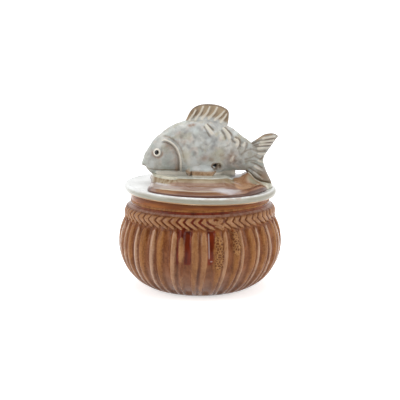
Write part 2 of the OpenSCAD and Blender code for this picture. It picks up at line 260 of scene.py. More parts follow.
def skin(name, points, slot, body, nodes, material, closed_rows=False, **painted):
    """A closed mesh from a grid of points in millimetres. Columns go round, and end rows are capped."""
    if body == "lid":
        points = settle(points)
    rows, columns = points.shape[:2]
    index = np.arange(rows * columns).reshape(rows, columns)
    below, above = (index, np.roll(index, -1, 0)) if closed_rows else (index[:-1], index[1:])
    faces = np.stack([below, np.roll(below, -1, 1), np.roll(above, -1, 1), above], 2).reshape(-1, 4).tolist()
    if not closed_rows:
        faces += [index[0, ::-1].tolist(), index[-1].tolist()]
    mesh = bpy.data.meshes.new(name)
    mesh.from_pydata((points.reshape(-1, 3) * MM).tolist(), [], faces)
    for key, values in painted.items():
        mesh.attributes.new(key, "FLOAT", "POINT").data.foreach_set(
            "value", np.broadcast_to(values, (rows, columns)).astype(np.float32).ravel())
    tidy = bmesh.new()
    tidy.from_mesh(mesh)
    bmesh.ops.remove_doubles(tidy, verts=tidy.verts, dist=1e-7)
    bmesh.ops.recalc_face_normals(tidy, faces=tidy.faces)
    tidy.to_mesh(mesh)
    tidy.free()
    mesh.shade_smooth()
    mesh.materials.append(material)
    piece = bpy.data.objects.new(name, mesh)
    bpy.context.scene.collection.objects.link(piece)
    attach(piece, body)
    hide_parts(*nodes)


def finish_glaze(shade, colour, roughness, height, depth, coat, specular=0.5):
    """Glaze over clay. Its surface rises by depth millimetres where height is 1."""
    normal = shade.node("Bump", None, {"Height": height, "Distance": depth * MM, "Strength": 1.0})
    shade.node("OutputMaterial", inputs={"Surface": shade.node("BsdfPrincipled", inputs={
        "Base Color": colour, "Roughness": roughness, "Normal": normal, "IOR": 1.5,
        "Specular IOR Level": specular, "Coat Weight": coat, "Coat Roughness": 0.05, "Coat IOR": 1.5})})


belly_low = math.degrees(math.asin(-belly_z / belly_r))
belly_high = math.degrees(math.asin((roll_z - 2.1 - belly_z) / belly_r))
belly_foot = ring_r + belly_r * math.cos(math.radians(belly_low))
hollow_low = math.degrees(math.asin((floor_z - belly_z) / hollow_r))
hollow_high = math.degrees(math.acos((bore_r - ring_r) / hollow_r))
hollow_foot = ring_r + hollow_r * math.cos(math.radians(hollow_low))
hollow_top = belly_z + hollow_r * math.sin(math.radians(hollow_high))
belly_rows = 90
profile_parts = [
    line((0, foot_recess), (foot_inner - 0.8, foot_recess), 3),
    arc((foot_inner - 0.8, foot_recess - foot_round), foot_round, 90, 10, 4),
    line((foot_inner + 0.3, 0), (belly_foot - 0.2, 0), 4),
    arc((ring_r, belly_z), belly_r, belly_low, belly_high, belly_rows),
    arc((roll_out, roll_z), roll_r, -19, 62, 22),
    arc((neck_r - bead_r / 2, bead_z), bead_r, -55, 60, 9),
    line((neck_r, bead_z + 0.9), (neck_r, neck_top - 0.8), 5),
    arc((neck_r - rim_round, neck_top - rim_round), rim_round, 10, 90, 6),
    arc((bore_r + rim_round, neck_top - rim_round), rim_round, 90, 175, 6),
    line((bore_r, neck_top - 1.2), (bore_r, hollow_top + 0.6), 4),
    arc((ring_r, belly_z), hollow_r, hollow_high, hollow_low + 6, 16),
    arc((hollow_foot - 4.5, floor_z + floor_round), floor_round, -35, -90, 5),
    line((ring_r + 4, floor_z), (0, floor_z), 4),
]
profile = np.concatenate(profile_parts)
part_starts = np.cumsum([0] + [len(part) for part in profile_parts])
belly_start, roll_start, bead_start, neck_start, rim_start = part_starts[3:8]

# Ribs stand in pairs, a sharp one and a flat one, with a groove inside a pair and a wide flute between pairs.
# Each row gives a rib's direction from the front and half its width, in degrees, and how sharp it is.
# The pairs behind are spaced evenly.
front_ribs = [(-66.5, 1.5, 1), (-59, 2.8, 0), (-51.3, 1.8, 1), (-44.6, 2.8, 0), (-35.6, 2.0, 1),
              (-28.6, 2.5, 0), (-18.7, 2.0, 0.8), (-12.8, 1.9, 0.4), (-3.3, 2.4, 0.3), (2.9, 2.2, 0.5),
              (13.3, 2.6, 0), (18.2, 1.7, 0.8), (26.3, 2.4, 0), (30.7, 1.6, 0.8), (39.8, 2.6, 0),
              (45, 1.2, 1), (52.8, 3.0, 0), (58.7, 1.4, 1)]
pair_count = 23
wiped_rib, boiled_ribs = -12.8, (13.3, 26.3)
first_pair, last_pair = -62.7, 55.8
back_pairs = np.linspace(last_pair, first_pair + 360, pair_count - len(front_ribs) // 2 + 2)[1:-1]
rib_list = front_ribs + [(pair + side * rng.uniform(3, 3.5), rng.uniform(1.9, 2.6), 0.5 + 0.5 * side)
                         for pair in back_pairs for side in (-1, 1)]
flute_depth, groove_depth = 1.6, 1.0
flute_low, flute_high = -66.0, 31.5
groove_widest, pool_narrowest = 3.2, 1.8
pool_from, pool_to = -20, 8

# Places on the belly are a direction round the axis and a rise above the belly's middle, both in degrees.
columns = 560
front_turn = -90
turn = np.linspace(-180, 180, columns, endpoint=False)[None, :]
rise = np.linspace(belly_low, belly_high, belly_rows)[:, None]
wiped_rise = -3.0


def apart(first, second):
    """Difference of two directions in degrees, from -180 to 180."""
    return (first - second + 180) % 360 - 180


def rib_line(place):
    """Where a rib runs at each height: a little to the left towards the foot, with a slight sway."""
    sway = 0.3 * np.sin(np.radians(rise * 3 + place * 40))
    return place + front_turn - 2.6 * short_of(rise, 5, 60) + sway


ribs, tan_rib, sharp_rib, seam, pool_share = (np.zeros((belly_rows, columns)) for i in range(5))
floor = np.full((belly_rows, columns), 0.3)
once_round = (rib_list[0][0] + 360,) + rib_list[0][1:]
for (place, half, sharp), following in zip(rib_list, rib_list[1:] + [once_round]):
    slim = 1 - 0.25 * short_of(rise, -5, 40)
    beside = apart(turn, rib_line(place))
    ragged = 1.6 * (place == boiled_ribs[0]) * (beside < 0) * short_of(rise, 20, 14) * past(rise, -22, 10)
    offset = np.abs(beside) / (half * slim + ragged)
    wiped = place == wiped_rib
    stands = (0.85 + 0.3 * sharp) * (1 - 0.55 * wiped * short_of(rise, wiped_rise, 9))
    top = flute_high - 1.5 - 6 * wiped - 5 * np.minimum(offset, 1.5) ** 2 * (half / 2.4)
    ribs = np.maximum(ribs, stands * smooth((1.65 - offset) / (1.3 + 0.3 * sharp)))
    rubbed_off = wiped * short_of(rise, wiped_rise, 6) * (1 - 0.6 * short_of(rise, -20, 8))
    shows = short_of(rise, top, 3) * (1 - rubbed_off)
    tan_here = shows * short_of(offset, 1.55, 1.3)
    sharp_rib = np.where(tan_here > tan_rib, sharp, sharp_rib)
    tan_rib = np.maximum(tan_rib, tan_here)
    space = following[0] - following[1] - place - half
    across = np.abs(apart(turn, rib_line((place + half + following[0] - following[1]) / 2)))
    deep = groove_depth + (flute_depth - groove_depth) * past(space, 1.2, 2.5)
    floor = np.maximum(floor, deep * smooth((space / 2 + 1.9 - across) / 1.9))
    if space < groove_widest:
        seam = np.maximum(seam, hill(across, 0.9) * short_of(rise, flute_high - 2, 6) * past(rise, -50, 25))
    if pool_from < place < pool_to and space > pool_narrowest:
        pool_share = np.maximum(pool_share, smooth((space / 2 + 0.7 - across) / 1.2))
arch = flute_high + 1.5 - 3.0 * np.minimum(ribs, 1)
ends = past(rise, flute_low, 9) * short_of(rise, arch, 4)
cut = ends * floor * (1 - ribs)


def on_rows(first, last, values=1.0):
    """Values on some rows of the pot's profile, and 0 on the others."""
    whole = np.zeros((len(profile), columns))
    whole[first:last] = values
    return whole


def on_belly(values):
    return on_rows(belly_start, roll_start, values)


steep = np.radians(rise)
sagging = 0.12 * np.sin(np.radians(2 * turn + 40)) + 0.08 * np.sin(np.radians(3 * turn)) - 0.2
radius = profile[:, :1] - on_belly(cut * np.cos(steep)) + on_belly(np.cos(steep) * sagging)
near_rim = smooth((profile[:, 1:] - bead_z - 0.8) / (neck_top - bead_z - 0.8))
height = (profile[:, 1:] - on_belly(cut * np.sin(steep))
          - near_rim * math.tan(rim_lean) * radius * np.cos(np.radians(turn)))


def revolve(radius, height, turn):
    """Grid of points at these distances from the axis, heights and directions."""
    radius, height, turn = np.broadcast_arrays(radius, height, np.radians(turn))
    return np.stack([radius * np.cos(turn), radius * np.sin(turn), height], 2)


# The glaze ran deep into two flutes at the front and round the top of the rib that was wiped away below, and
# these pools are painted darker as well, a painted reflection of the dim room in front. Under the bead the
# glaze is painted dark, a painted shade, and the neck is painted darker towards the lid, a painted shade
# under it.
thin = tan_rib * (0.35 + 0.65 * smooth((rise - flute_low - 2) / 30))
over_wiped = hill(apart(turn, wiped_rib + front_turn), 4.5) * past(rise, 16, 6)
pool = (np.maximum(pool_share * past(rise, -15, 10), over_wiped) * (1 - tan_rib)
        * short_of(rise, flute_high + 5, 3))
# Painted shade under the bead, deepest towards the front.
under_bead = 0.45 + 0.75 * hill(apart(turn, -95), 22)
up_neck = np.linspace(0, 1, rim_start - neck_start)[:, None]

# A painted highlight runs down the left side of the right-hand pool and ends in a painted glint.
run_place, drop_place, drop_rise = 6.3, 7.8, -5.5
gleam = hill(apart(turn, run_place + front_turn), 0.55) * past(rise, -6, 6) * short_of(rise, 30, 4)
drop_away = np.hypot(apart(turn, drop_place + front_turn), rise - drop_rise)
gleam = np.maximum(gleam, 1.3 * hill(drop_away, 0.9))

# On two front ribs the glaze boiled and left a net of small pits. Beside the second, two bubbles burst.
blister = np.zeros(cut.shape)
for place, low_end, high_end in zip(boiled_ribs, (-20, -4), (26, 30)):
    blister = np.maximum(blister, hill(apart(turn, rib_line(place) + 0.3), 3.2)
                         * past(rise, low_end, 10) * short_of(rise, high_end, 5))
for bubble_place, bubble_rise in ((24.4, 29), (27.6, 27.5)):
    bubble = np.hypot(apart(turn, bubble_place + front_turn), rise - bubble_rise)
    pool = np.maximum(pool, 1.2 * hill(bubble, 0.7))
    thin = np.maximum(thin * (1 - hill(bubble, 0.8)), hill(bubble - 1.6, 0.5))

chestnut, shade = start_material("chestnut_glaze")
cloud = shade.noise(9, 4, 0.55)
fine = shade.noise(1.1, 4, 0.65)
streak = shade.noise(2.4, 4, 0.6, 0.3, (1, 1, 0.2))
ragged = shade.noise(3.2, 3, 0.6, 0.5, (1, 1, 0.5))
broken = shade.patch("thin", 0.1, 0.95, (0.5, streak), (0.4, fine), (0.5, ragged))
thrown = shade.noise(2.2, 3, 0.5, 0, (0.12, 0.12, 1))
brown = (0.3 * cloud + 0.45 * streak + 0.25 * fine).tones((106, 57, 28), (144, 89, 52), 0.38, 0.62)
# Towards the foot the belly is painted paler and lavender, a painted reflection of the pale table.
brown = (shade.painted("low") * 0.8).mix(brown, cloud.tones((126, 78, 46), (152, 106, 76)))
# Dark seams scored between paired ribs, and the braid's gaps painted dark, a painted shade.
brown = (shade.painted("seam") * 0.7).mix(brown, rgb(84, 44, 22))
# Dark pools of glaze, with a painted reflection in the front flutes and painted shade under the bead and in
# the braid's gaps.
brown = shade.patch("pool", 0.25, 0.75, (0.5, streak)).mix(
    brown, streak.tones((78, 20, 3), (120, 42, 8), 0.3, 0.7))
brown = shade.painted("warm").mix(brown, thrown.tones((118, 58, 14), (150, 88, 36)))
# The neck is painted darker towards the lid, a painted shade under it.
brown = shade.patch("umber", 0.3, 1.1, (0.4, thrown)).mix(brown, rgb(100, 50, 12))
# Lavender painted on the roll and along the top of the braid, a painted reflection.
brown = shade.patch("bloom", 0.2, 0.9, (0.8, cloud)).mix(
    brown, streak.tones((136, 92, 72), (160, 124, 108)))
# Sharp ribs are painted paler and pinker than flat ones, a painted reflection along their crests.
flat_tan = (0.4 * streak + 0.4 * fine + 0.2 * cloud).tones((122, 74, 34), (160, 107, 58), 0.38, 0.62)
sharp_tan = (0.4 * streak + 0.3 * fine + 0.3 * cloud).tones((152, 106, 70), (178, 134, 98), 0.38, 0.62)
tan = shade.painted("sharp").mix(flat_tan, sharp_tan)
colour = broken.mix(brown, tan)
cell = shade.node("TexVoronoi", {"feature": "DISTANCE_TO_EDGE"}, {
    "Vector": shade.node("TexCoord", output="Object"), "Scale": 1 / (1.6 * MM)})
boiled = shade.patch("blister", 0.3, 0.6, (0.5, fine))
pits = boiled * cell.ease(0.1, 0.24) * shade.noise(2.2).ease(0.36, 0.46)
colour = (boiled * (1 - cell.ease(0.03, 0.16)) * 0.8).mix(colour, rgb(172, 124, 78))
colour = (pits * 0.9).mix(colour, rgb(106, 60, 30))
# The painted highlight and glint by the right-hand pool.
colour = (shade.painted("gleam").ease(0.2, 0.9) * 0.8).mix(colour, rgb(184, 156, 146))
clay = fine.mix(rgb(196, 164, 126), rgb(214, 186, 150))
colour = shade.painted("bare").ease(0.4, 0.6).mix(colour, clay)
roughness = 0.2 + 0.2 * broken + 0.4 * shade.painted("bare")
edge_sharp = shade.painted("sharp")
gloss = 0.05 + 0.28 * shade.painted("low") + 0.9 * edge_sharp * edge_sharp * edge_sharp * broken
finish_glaze(shade, colour, roughness, fine * 0.8 + streak + cloud - pits * 3.0, 0.14, gloss, 0.15)
skin("pot", revolve(radius, height, turn), "pot_glaze", "pot", ["pot_body"], chestnut,
     thin=on_belly(thin) + on_rows(bead_start + 2, neck_start, 0.9), sharp=on_belly(sharp_rib),
     seam=on_belly(seam * (1 - tan_rib)), gleam=on_belly(gleam), blister=on_belly(blister),
     pool=on_belly(pool) + on_rows(bead_start - 2, bead_start + 2, under_bead),
     low=on_belly(short_of(rise, -8, 30)), bare=on_rows(0, belly_start + 2),
     bloom=on_rows(roll_start + 10, bead_start - 1), warm=on_rows(neck_start, rim_start),
     umber=on_rows(neck_start, rim_start, up_neck))

# Braid: a strip of soft clay laid round the shoulder and pressed into slanting strands, like plaited straw.
# Its ends meet at the front right, under a thumbed loop of clay. It has the pot's glaze, tan on the strands,
# with painted sheen on them, painted shade in the gaps and a painted reflection in lavender along the top.
strand_count = 60
strand_pitch = 360 / strand_count
braid_low, braid_high = (corner[2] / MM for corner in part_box("braid_band"))
braid_h = braid_high - braid_low
braid_rise = 0.9
elbow = 0.54
lean_low, lean_high = 6.6, 3.9
strand_half = 0.4
columns = strand_count * 22
turn = np.linspace(-180, 180, columns, endpoint=False)[None, :]
level = np.linspace(-0.16, 1.16, 34)[:, None]
braid_z = braid_low + level * braid_h
roll_edge = np.sqrt(np.maximum(roll_r ** 2 - (braid_z - roll_z) ** 2, 0)) + roll_out
belly_edge = np.sqrt(np.maximum(belly_r ** 2 - (braid_z - belly_z) ** 2, 0)) + ring_r
shoulder = np.maximum(np.where(np.abs(braid_z - roll_z) < roll_r, roll_edge, 0), belly_edge)

from_elbow = np.sqrt((level - elbow) ** 2 + 0.04 ** 2)
lean = np.where(level < elbow, lean_low / elbow, lean_high / (1 - elbow)) * from_elbow
wander = 0.4 * np.sin(np.radians(turn * 7 + 30)) + 0.3 * np.sin(np.radians(turn * 11))
phase = (turn - front_turn - lean + wander) / strand_pitch
from_strand = np.abs(phase - np.floor(phase) - 0.5)
pressed = hill(apart(turn, -92), 26)
uneven = np.sin(np.floor(phase) * 2.4)
strand_wide = strand_half + 0.08 - 0.11 * pressed + 0.03 * uneven
strand = np.sqrt(np.clip(1 - (from_strand / strand_wide) ** 2, 0, 1))
strand = 1 - (1 - strand) * (0.35 + 0.65 * short_of(level, 1.0, 0.4))
tooth = 0.1 * np.cos(2 * np.pi * phase)
strip = smooth((level + 0.02 - tooth) / 0.1) * short_of(level, 1.08, 0.3)
relief = braid_rise * strand * (0.9 + 0.1 * uneven)

# The thumbed loop, the tail of clay below it and a burst bubble.
loop_turn, loop_z, loop_half, loop_high = -78.4, 51.0, 4.3, 2.4
tail_drop, tail_right, tail_down = 1.2, 0.78, 0.63
across = np.radians(apart(turn, loop_turn)) * shoulder
above = braid_z - loop_z
oval = np.sqrt((across / loop_half) ** 2 + (above / loop_high) ** 2)
calm = smooth(1.75 - oval)
relief = relief * (1 - calm) + calm * (0.45 + 0.95 * hill(oval - 0.7, 0.22) - 0.5 * hill(oval, 0.22)
                                       - 0.45 * hill(oval - 1.3, 0.16))
along = across * tail_right - (above + tail_drop) * tail_down
aside = across * tail_down + (above + tail_drop) * tail_right
tail_share = past(along, -1.5, 1.5) * short_of(along, 7.5, 1.5) * hill(aside, 0.9)
relief = np.maximum(relief, 1.35 * tail_share)
bubble = np.hypot(across - 4.0, above + 5.0)
relief = relief + 0.5 * hill(bubble - 1.1, 0.4) - 0.5 * hill(bubble, 0.6)
strip = np.maximum(strip, np.maximum(tail_share, hill(bubble, 1.3)))

lift = strip * np.maximum(relief, 0.08) - 0.7 * (1 - strip)
strand_tan = past(relief, 0.15, 0.65) * strip * (0.5 + 0.5 * short_of(level, 1, 0.35))
# The gaps between strands are painted dark, a painted shade, darkest at the front.
gap_dark = (0.1 + 0.7 * pressed) * (1 - strand_tan) * strip * short_of(level, 1.05, 0.4)
braid = revolve(shoulder + lift, braid_z, turn)
inside = revolve(shoulder[::-1] - 1.2, braid_z[::-1], turn)
# On the strands a painted sheen, in the gaps painted shade, and along the top a painted reflection.
painted = {"thin": strand_tan, "sharp": 0.6 * strand_tan, "seam": (1 - strand_tan) * strip, "pool": gap_dark,
           "bloom": past(level, 0.8, 0.2) + 0 * lift}
painted = {key: np.concatenate([values, np.zeros(lift.shape)]) for key, values in painted.items()}
skin("braid", np.concatenate([braid, inside]), "band_glaze", "pot", ["braid_band"], chestnut,
     closed_rows=True, **painted)

# Lid: a thrown plate with a full round lip. White glaze covers it, thick and grey-green on the lip's face,
# and the face is painted darker as it turns down, a painted shade. Along the lower edge the glaze is thin and
# the clay shows tan through it, and under the lip the plate is painted dark brown, a painted shade.
lid_low, lid_high = (np.array(corner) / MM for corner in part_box("lid_plate"))
lid_r = (lid_high[0] - lid_low[0]) / 2
lid_t = lid_high[2] - lid_low[2]
plate_top = lid_high[2]
lip_r = lid_t / 2
lip_rows = 30
under_rows = 12
profile = np.concatenate([
    line((0, lid_low[2]), (lid_r - lip_r - 0.5, lid_low[2]), under_rows),
    arc((lid_r - lip_r, lid_low[2] + lip_r), lip_r, -90, 90, lip_rows),
    line((lid_r - lip_r - 0.6, plate_top - 0.08), (lid_r - lip_r - 2.5, plate_top - 0.3), 5),
    line((lid_r - lip_r - 4, plate_top - 0.32), (0, plate_top - 0.3), 14),
])
lid_turn = np.linspace(-180, 180, 320, endpoint=False)[None, :]


def warp(points):
    """Bring the plate from the lid's lean to the rim's."""
    return points - points[:, :, :1] * math.tan(rim_lean - lid_lean) * np.array([0, 0, 1])


lip_angle = np.full((len(profile), 1), 180.0)
lip_angle[:under_rows] = -180.0
lip_angle[under_rows:under_rows + lip_rows, 0] = np.linspace(-90, 90, lip_rows)
not_under = lip_angle > -180

# The lip's face is painted darker as it turns down, most at the right and least at the left end: painted
# shade.
runs = (smooth((86 + 20 * hill(apart(lid_turn, -15), 40) - lip_angle) / 80)
        * (1 - 0.7 * hill(apart(lid_turn, 185), 28)))
# On top of the lip, towards the front and most of all at the right, the plinth's glaze has stained the white.
stain = 0.45 * hill(apart(lid_turn, -100), 50) + 0.75 * hill(apart(lid_turn, -50), 24)
stain = past(lip_angle, -10, 50) * stain

white, shade = start_material("white_glaze")
cloud = shade.noise(14, 3, 0.5)
fine = shade.noise(1.6, 4, 0.6)
face = shade.patch("face", 0.1, 1.0, (0.35, cloud), (0.25, fine))
colour = cloud.tones((220, 222, 220), (238, 240, 239), 0.3, 0.7)
colour = (face * 0.95).mix(colour, fine.mix(rgb(142, 138, 120), rgb(164, 160, 144)))
patchy = shade.noise(4.5, 3, 0.6, 0.5).ease(0.42, 0.64)
colour = (shade.painted("stain") * patchy * 0.8).mix(colour, fine.mix(rgb(150, 126, 110), rgb(186, 168, 152)))
thin = shade.patch("edge", 0.3, 0.8, (0.4, cloud), (0.2, fine))
colour = thin.mix(colour, cloud.tones((190, 140, 92), (226, 190, 146), 0.4, 0.6))
# Painted shade under the lip.
colour = shade.painted("under").mix(colour, rgb(122, 76, 42))
speck = shade.noise(0.9, 1, 0.5).ease(0.72, 0.78) * 0.4
colour = speck.mix(colour, rgb(120, 96, 72))
finish_glaze(shade, colour, 0.16 + 0.2 * thin, cloud + fine * 0.4, 0.1, 0.2, 0.3)
skin("lid", warp(revolve(profile[:, :1], profile[:, 1:], lid_turn)), "lid_glaze", "lid", ["lid_plate"],
     white, face=runs * not_under, stain=stain, edge=hill(lip_angle + 48, 16),
     under=short_of(lip_angle, -66, 8) * not_under)

# Flange: a ring of clay turned under the plate and left without glaze.
# It hangs in the neck and keeps the lid central.
flange_low, flange_high = (np.array(corner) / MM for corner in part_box("lid_flange"))
flange_r = (flange_high[0] - flange_low[0]) / 2
flange_w = 4.5
ease_r = 0.8
profile = np.concatenate([
    arc((flange_r - ease_r, flange_low[2] + ease_r), ease_r, -90, 0, 6),
    line((flange_r, flange_low[2] + 2), (flange_r, flange_high[2]), 6),
    line((flange_r - flange_w, flange_high[2]), (flange_r - flange_w, flange_low[2] + 2), 6),
    arc((flange_r - flange_w + ease_r, flange_low[2] + ease_r), ease_r, 180, 270, 6),
])
bisque, shade = start_material("bare_clay")
fine = shade.noise(0.8, 4, 0.65)
rings = shade.noise(2.5, 2, 0.5, 0, (0.1, 0.1, 1))
colour = (0.6 * fine + 0.4 * rings).tones((186, 150, 112), (208, 178, 140))
finish_glaze(shade, colour, 0.75 + 0.15 * fine, fine + rings, 0.08, 0.0)
skin("flange", warp(revolve(profile[:, :1], profile[:, 1:], lid_turn)), "bare_clay", "lid", ["lid_flange"],
     bisque, closed_rows=True)

# Plinth: clay built up on the plate, with an oval platform for the fish and a skirt that spreads to the lip.
# At the right a crest carries the tail. The amber glaze turns cream on edges, and white where it pools.
# The lavender on the ledge and white patches on the skirt and behind the tail are painted reflections.
platform_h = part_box("fish_body")[0][2] / MM - plate_top
platform_r = 20.5
left_end, right_end = -10.0, 2.0
skirt_r, skirt_front, skirt_left, left_tip, corner_power = 42.5, 2.2, 30.8, 2.4, 12
tail_reach, tail_spread = 2.6, 15.0
right_fall, fall_start, fall_run = 3.2, 15.5, 7.0
ledge_h, tail_ledge, skirt_edge = 2.8, 0.4, 0.4
wall_foot, pier_foot = 0.2, 0.6
pier_start, pier_end, pier_fade = 16.0, 54.0, 7.0
crest = ((14, 0), (18.5, 5), (22, 5.8), (24.6, 6.4), (27.6, 7.8), (29.6, 8.2), (31.4, 6.7), (33.5, 4.4),
         (35.6, 2.9), (38.4, 1.8), (44.3, 1.1), (45.2, 0))
crest_half, crest_slope = 2.5, 17.0


def through(knots, x):
    """Smooth curve through knots (x, value), level past both ends."""
    at, value = np.array(knots, float).T
    before, after = np.maximum(np.arange(len(at)) - 1, 0), np.minimum(np.arange(len(at)) + 1, len(at) - 1)
    slope = (value[after] - value[before]) / (at[after] - at[before])
    x = np.clip(x, at[0], at[-1])
    i = np.clip(np.searchsorted(at, x) - 1, 0, len(at) - 2)
    wide = at[i + 1] - at[i]
    t = (x - at[i]) / wide
    u = 1 - t
    return (value[i] * u * u * (1 + 2 * t) + value[i + 1] * t * t * (3 - 2 * t)
            + wide * t * u * (slope[i] * u - slope[i + 1] * t))


half_turn = np.linspace(-90, 90, 160)
side = np.linspace(0, 1, 24)[1:-1]
turn = np.concatenate([half_turn, np.full(len(side), 90), half_turn + 180, np.full(len(side), 270)])
middle = np.concatenate([np.full(len(half_turn), right_end), right_end + side * (left_end - right_end),
                         np.full(len(half_turn), left_end), left_end + side * (right_end - left_end)])
# Rings from the flat top out: a rounded shoulder, then the wall that slopes to the ledge, then the skirt.
shoulder_w, shoulder_h = 1.8, 1.3
bend = np.radians(np.linspace(0, 55, 10))
top_out = np.concatenate([[-13, -7, -4, -2.6], shoulder_w * (np.sin(bend) / np.sin(bend[-1]) - 1)])[:, None]
top_drop = np.concatenate([[0.1, 0.08, 0.04, 0.01],
                           shoulder_h * (1 - np.cos(bend)) / (1 - np.cos(bend[-1]))])[:, None]
swell = 0.4 * np.sin(np.radians(turn * 5 + 20)) + 0.3 * np.sin(np.radians(turn * 9 + 75))
distance = platform_r + top_out + swell * past(top_out, -3, 3)
top = np.stack([middle + distance * np.cos(np.radians(turn)), distance * np.sin(np.radians(turn)),
                platform_h - top_drop + 0 * distance], 2)
top[:, :, 2] -= right_fall * smooth((top[:, :, 0] - fall_start) / fall_run)
base = top[-1, :, :2]
bearing = np.arctan2(base[:, 1], base[:, 0])
from_tail = np.degrees(np.abs(bearing))
beside = np.degrees(-bearing)
drawn_in = np.maximum(0, -np.cos(bearing)) / (skirt_left + left_tip * short_of(from_tail, 165, 28))
run_out = skirt_r + skirt_front * past(beside, 30, 25) * short_of(beside, 165, 20)
reach = (((1 / run_out) ** corner_power + drawn_in ** corner_power) ** (-1 / corner_power)
         + tail_reach * smooth(1 - from_tail / tail_spread))
edge = reach[:, None] * np.stack([np.cos(bearing), np.sin(bearing)], 1)
pier = short_of(beside, pier_end, pier_fade) * past(beside, pier_start, pier_fade)
foot = wall_foot + pier_foot * pier + 0.02 * np.sin(bearing * 8 + 1)
ledge_share = (1 - (1 - tail_ledge) * smooth(1 - from_tail / tail_spread)
               - 0.3 * past(from_tail, 135, 35))
down = np.linspace(0, 1, 17)[1:, None]
out = np.linspace(0, 1, 46)[1:, None]
share = np.concatenate([down * foot, foot + out * (1 - foot)])
slope_z = np.concatenate([
    ledge_h * ledge_share + (top[-1, :, 2] - ledge_h * ledge_share) * (1 - down) ** 1.3,
    skirt_edge + ledge_share * (ledge_h - skirt_edge) * (1 - out ** 3.6) ** 0.6
    + 0.12 * np.sin(bearing * 9) * np.sin(np.pi * out)])
slope = np.concatenate([base + share[:, :, None] * (edge - base), slope_z[:, :, None]], 2)
points = np.concatenate([top, slope])
crest_z = through(crest, points[:, :, 0]) * smooth(1 - (np.abs(points[:, :, 1]) - crest_half) / crest_slope)
gap = crest_z - points[:, :, 2]
on_crest = smooth(gap + 0.5)
inside_edge = np.arange(len(points))[:, None] < len(points) - 1
points[:, :, 2] += np.where(inside_edge, (gap + np.hypot(gap, 0.6)) / 2, 0)
# A bead of soft clay along the crest holds the edge of the tail, and ends in a lump at the lip.
along_x, across_y = points[:, :, 0], points[:, :, 1]
bead = past(along_x, 28.8, 1.2) * short_of(along_x, 46, 1.5) * hill(
    np.abs(across_y) - 2.6 - 2 * past(along_x, 38, 5), 1.6 + 1.2 * past(along_x, 37, 5))
points[:, :, 2] += 0.9 * bead
hem = np.concatenate([edge, np.full((len(edge), 1), -0.8)], 1)[None]
points = np.concatenate([points, hem])
points[:, :, 2] += plate_top

rows = len(points)
along_x, across_y = points[:, :, 0], points[:, :, 1]
near, far = short_of(across_y, 2, 4), past(across_y, 1, 5) * past(along_x, -4, 18)
after_top = len(top)
spread = np.concatenate([np.zeros(top.shape[:2]), share, np.ones((1, len(turn)))])
fallen = np.concatenate([np.zeros((after_top, 1)), down, np.ones((len(out) + 1, 1))])
past_wall = np.concatenate([np.zeros((after_top + len(down), 1)), out, np.ones((1, 1))])
wall = np.concatenate([past(top_out, -0.9, 0.8), np.ones((rows - after_top, 1))])
rust = past(fallen, 0.12, 0.4) * past(along_x, -24, 10)
# The ledge is painted lavender, a painted reflection.
ledge = (smooth((fallen - 0.88 + 0.15 * short_of(along_x, -22, 9)) / 0.12)
         * past(past_wall, -0.04, 0.08))
brow = hill(spread - 0.72, 0.04) * (1 - pier) * past(along_x, -27, 5)
low = past(spread, 0.75, 0.06) * (1 - 0.6 * short_of(along_x, -23, 6)) * (1 - far)
from_tip = np.hypot((along_x + 32) / 4, (across_y + 27) / 5)
end_lump = hill(np.hypot((along_x - 42) / 5.2, (across_y + 6) / 6), 1)
dark = np.maximum(past(spread, 0.95, 0.035) * (1 - far) * (1 - end_lump),
                  hill(from_tip, 1) * past(spread, 0.5, 0.2))
ember = past(along_x, 22, 10) * near * hill(spread - 0.86, 0.07) * (1 - end_lump)
on_crest = np.maximum(np.concatenate([on_crest, on_crest[-1:]]), pier * past(along_x, 19, 4))
on_crest = on_crest * (spread > 0)
ridge = np.maximum(np.concatenate([bead, bead[-1:]]), 0.9 * end_lump * past(spread, 0.3, 0.1))
mossy = hill(np.hypot((along_x - 33) / 1.2, across_y + 8), 4.5)
left_pool = hill(np.hypot((along_x + 22.5) / 8, (across_y + 16) / 10), 1)
left_pool = 0.65 * left_pool * past(fallen, 0.5, 0.3) * short_of(spread, 0.55, 0.3)
# A white patch on the skirt before the tail and one on the platform behind the tail are painted reflections.
front_pool = hill(np.hypot((along_x - 15.5) / 9.5, (across_y + 33.5) / 7), 1) * smooth(past_wall / 0.1)
tail_pool = past(across_y, -7, 4) * past(along_x, 17, 3) * short_of(along_x, 27, 3)


def most(*values):
    """The greatest of some values at each point."""
    return np.maximum.reduce(np.broadcast_arrays(*values))


puddle = most(left_pool, far * ledge, front_pool, tail_pool)
top_lip = np.concatenate([0.35 + 0.65 * hill(top_out + 0.9, 1.2), np.zeros((rows - after_top, 1))])
lip = top_lip * near * short_of(along_x, -12, 4)
streaky = short_of(along_x, -9, 8)

amber, shade = start_material("amber_glaze")
cloud = shade.noise(6, 4, 0.6, 0.4)
fine = shade.noise(1.4, 4, 0.6)
streak = shade.noise(2.2, 3, 0.6, 0.2, (1, 1, 0.15))
smear = shade.noise(5, 3, 0.6, 0.5, (0.3, 0.3, 1))
run = shade.painted("streaky") * (streak - 0.5) + 0.35 * (cloud - 0.5)
milky = cloud.tones((162, 164, 152), (190, 188, 178))
tan = (0.5 + run).tones((130, 106, 74), (168, 152, 124), 0.36, 0.64)
tan = shade.patch("rust", 0.2, 0.9, (0.6, smear)).mix(tan, cloud.tones((124, 88, 64), (144, 110, 84)))
colour = shade.patch("wall", 0.25, 0.75, (0.3, cloud)).mix(milky, tan)
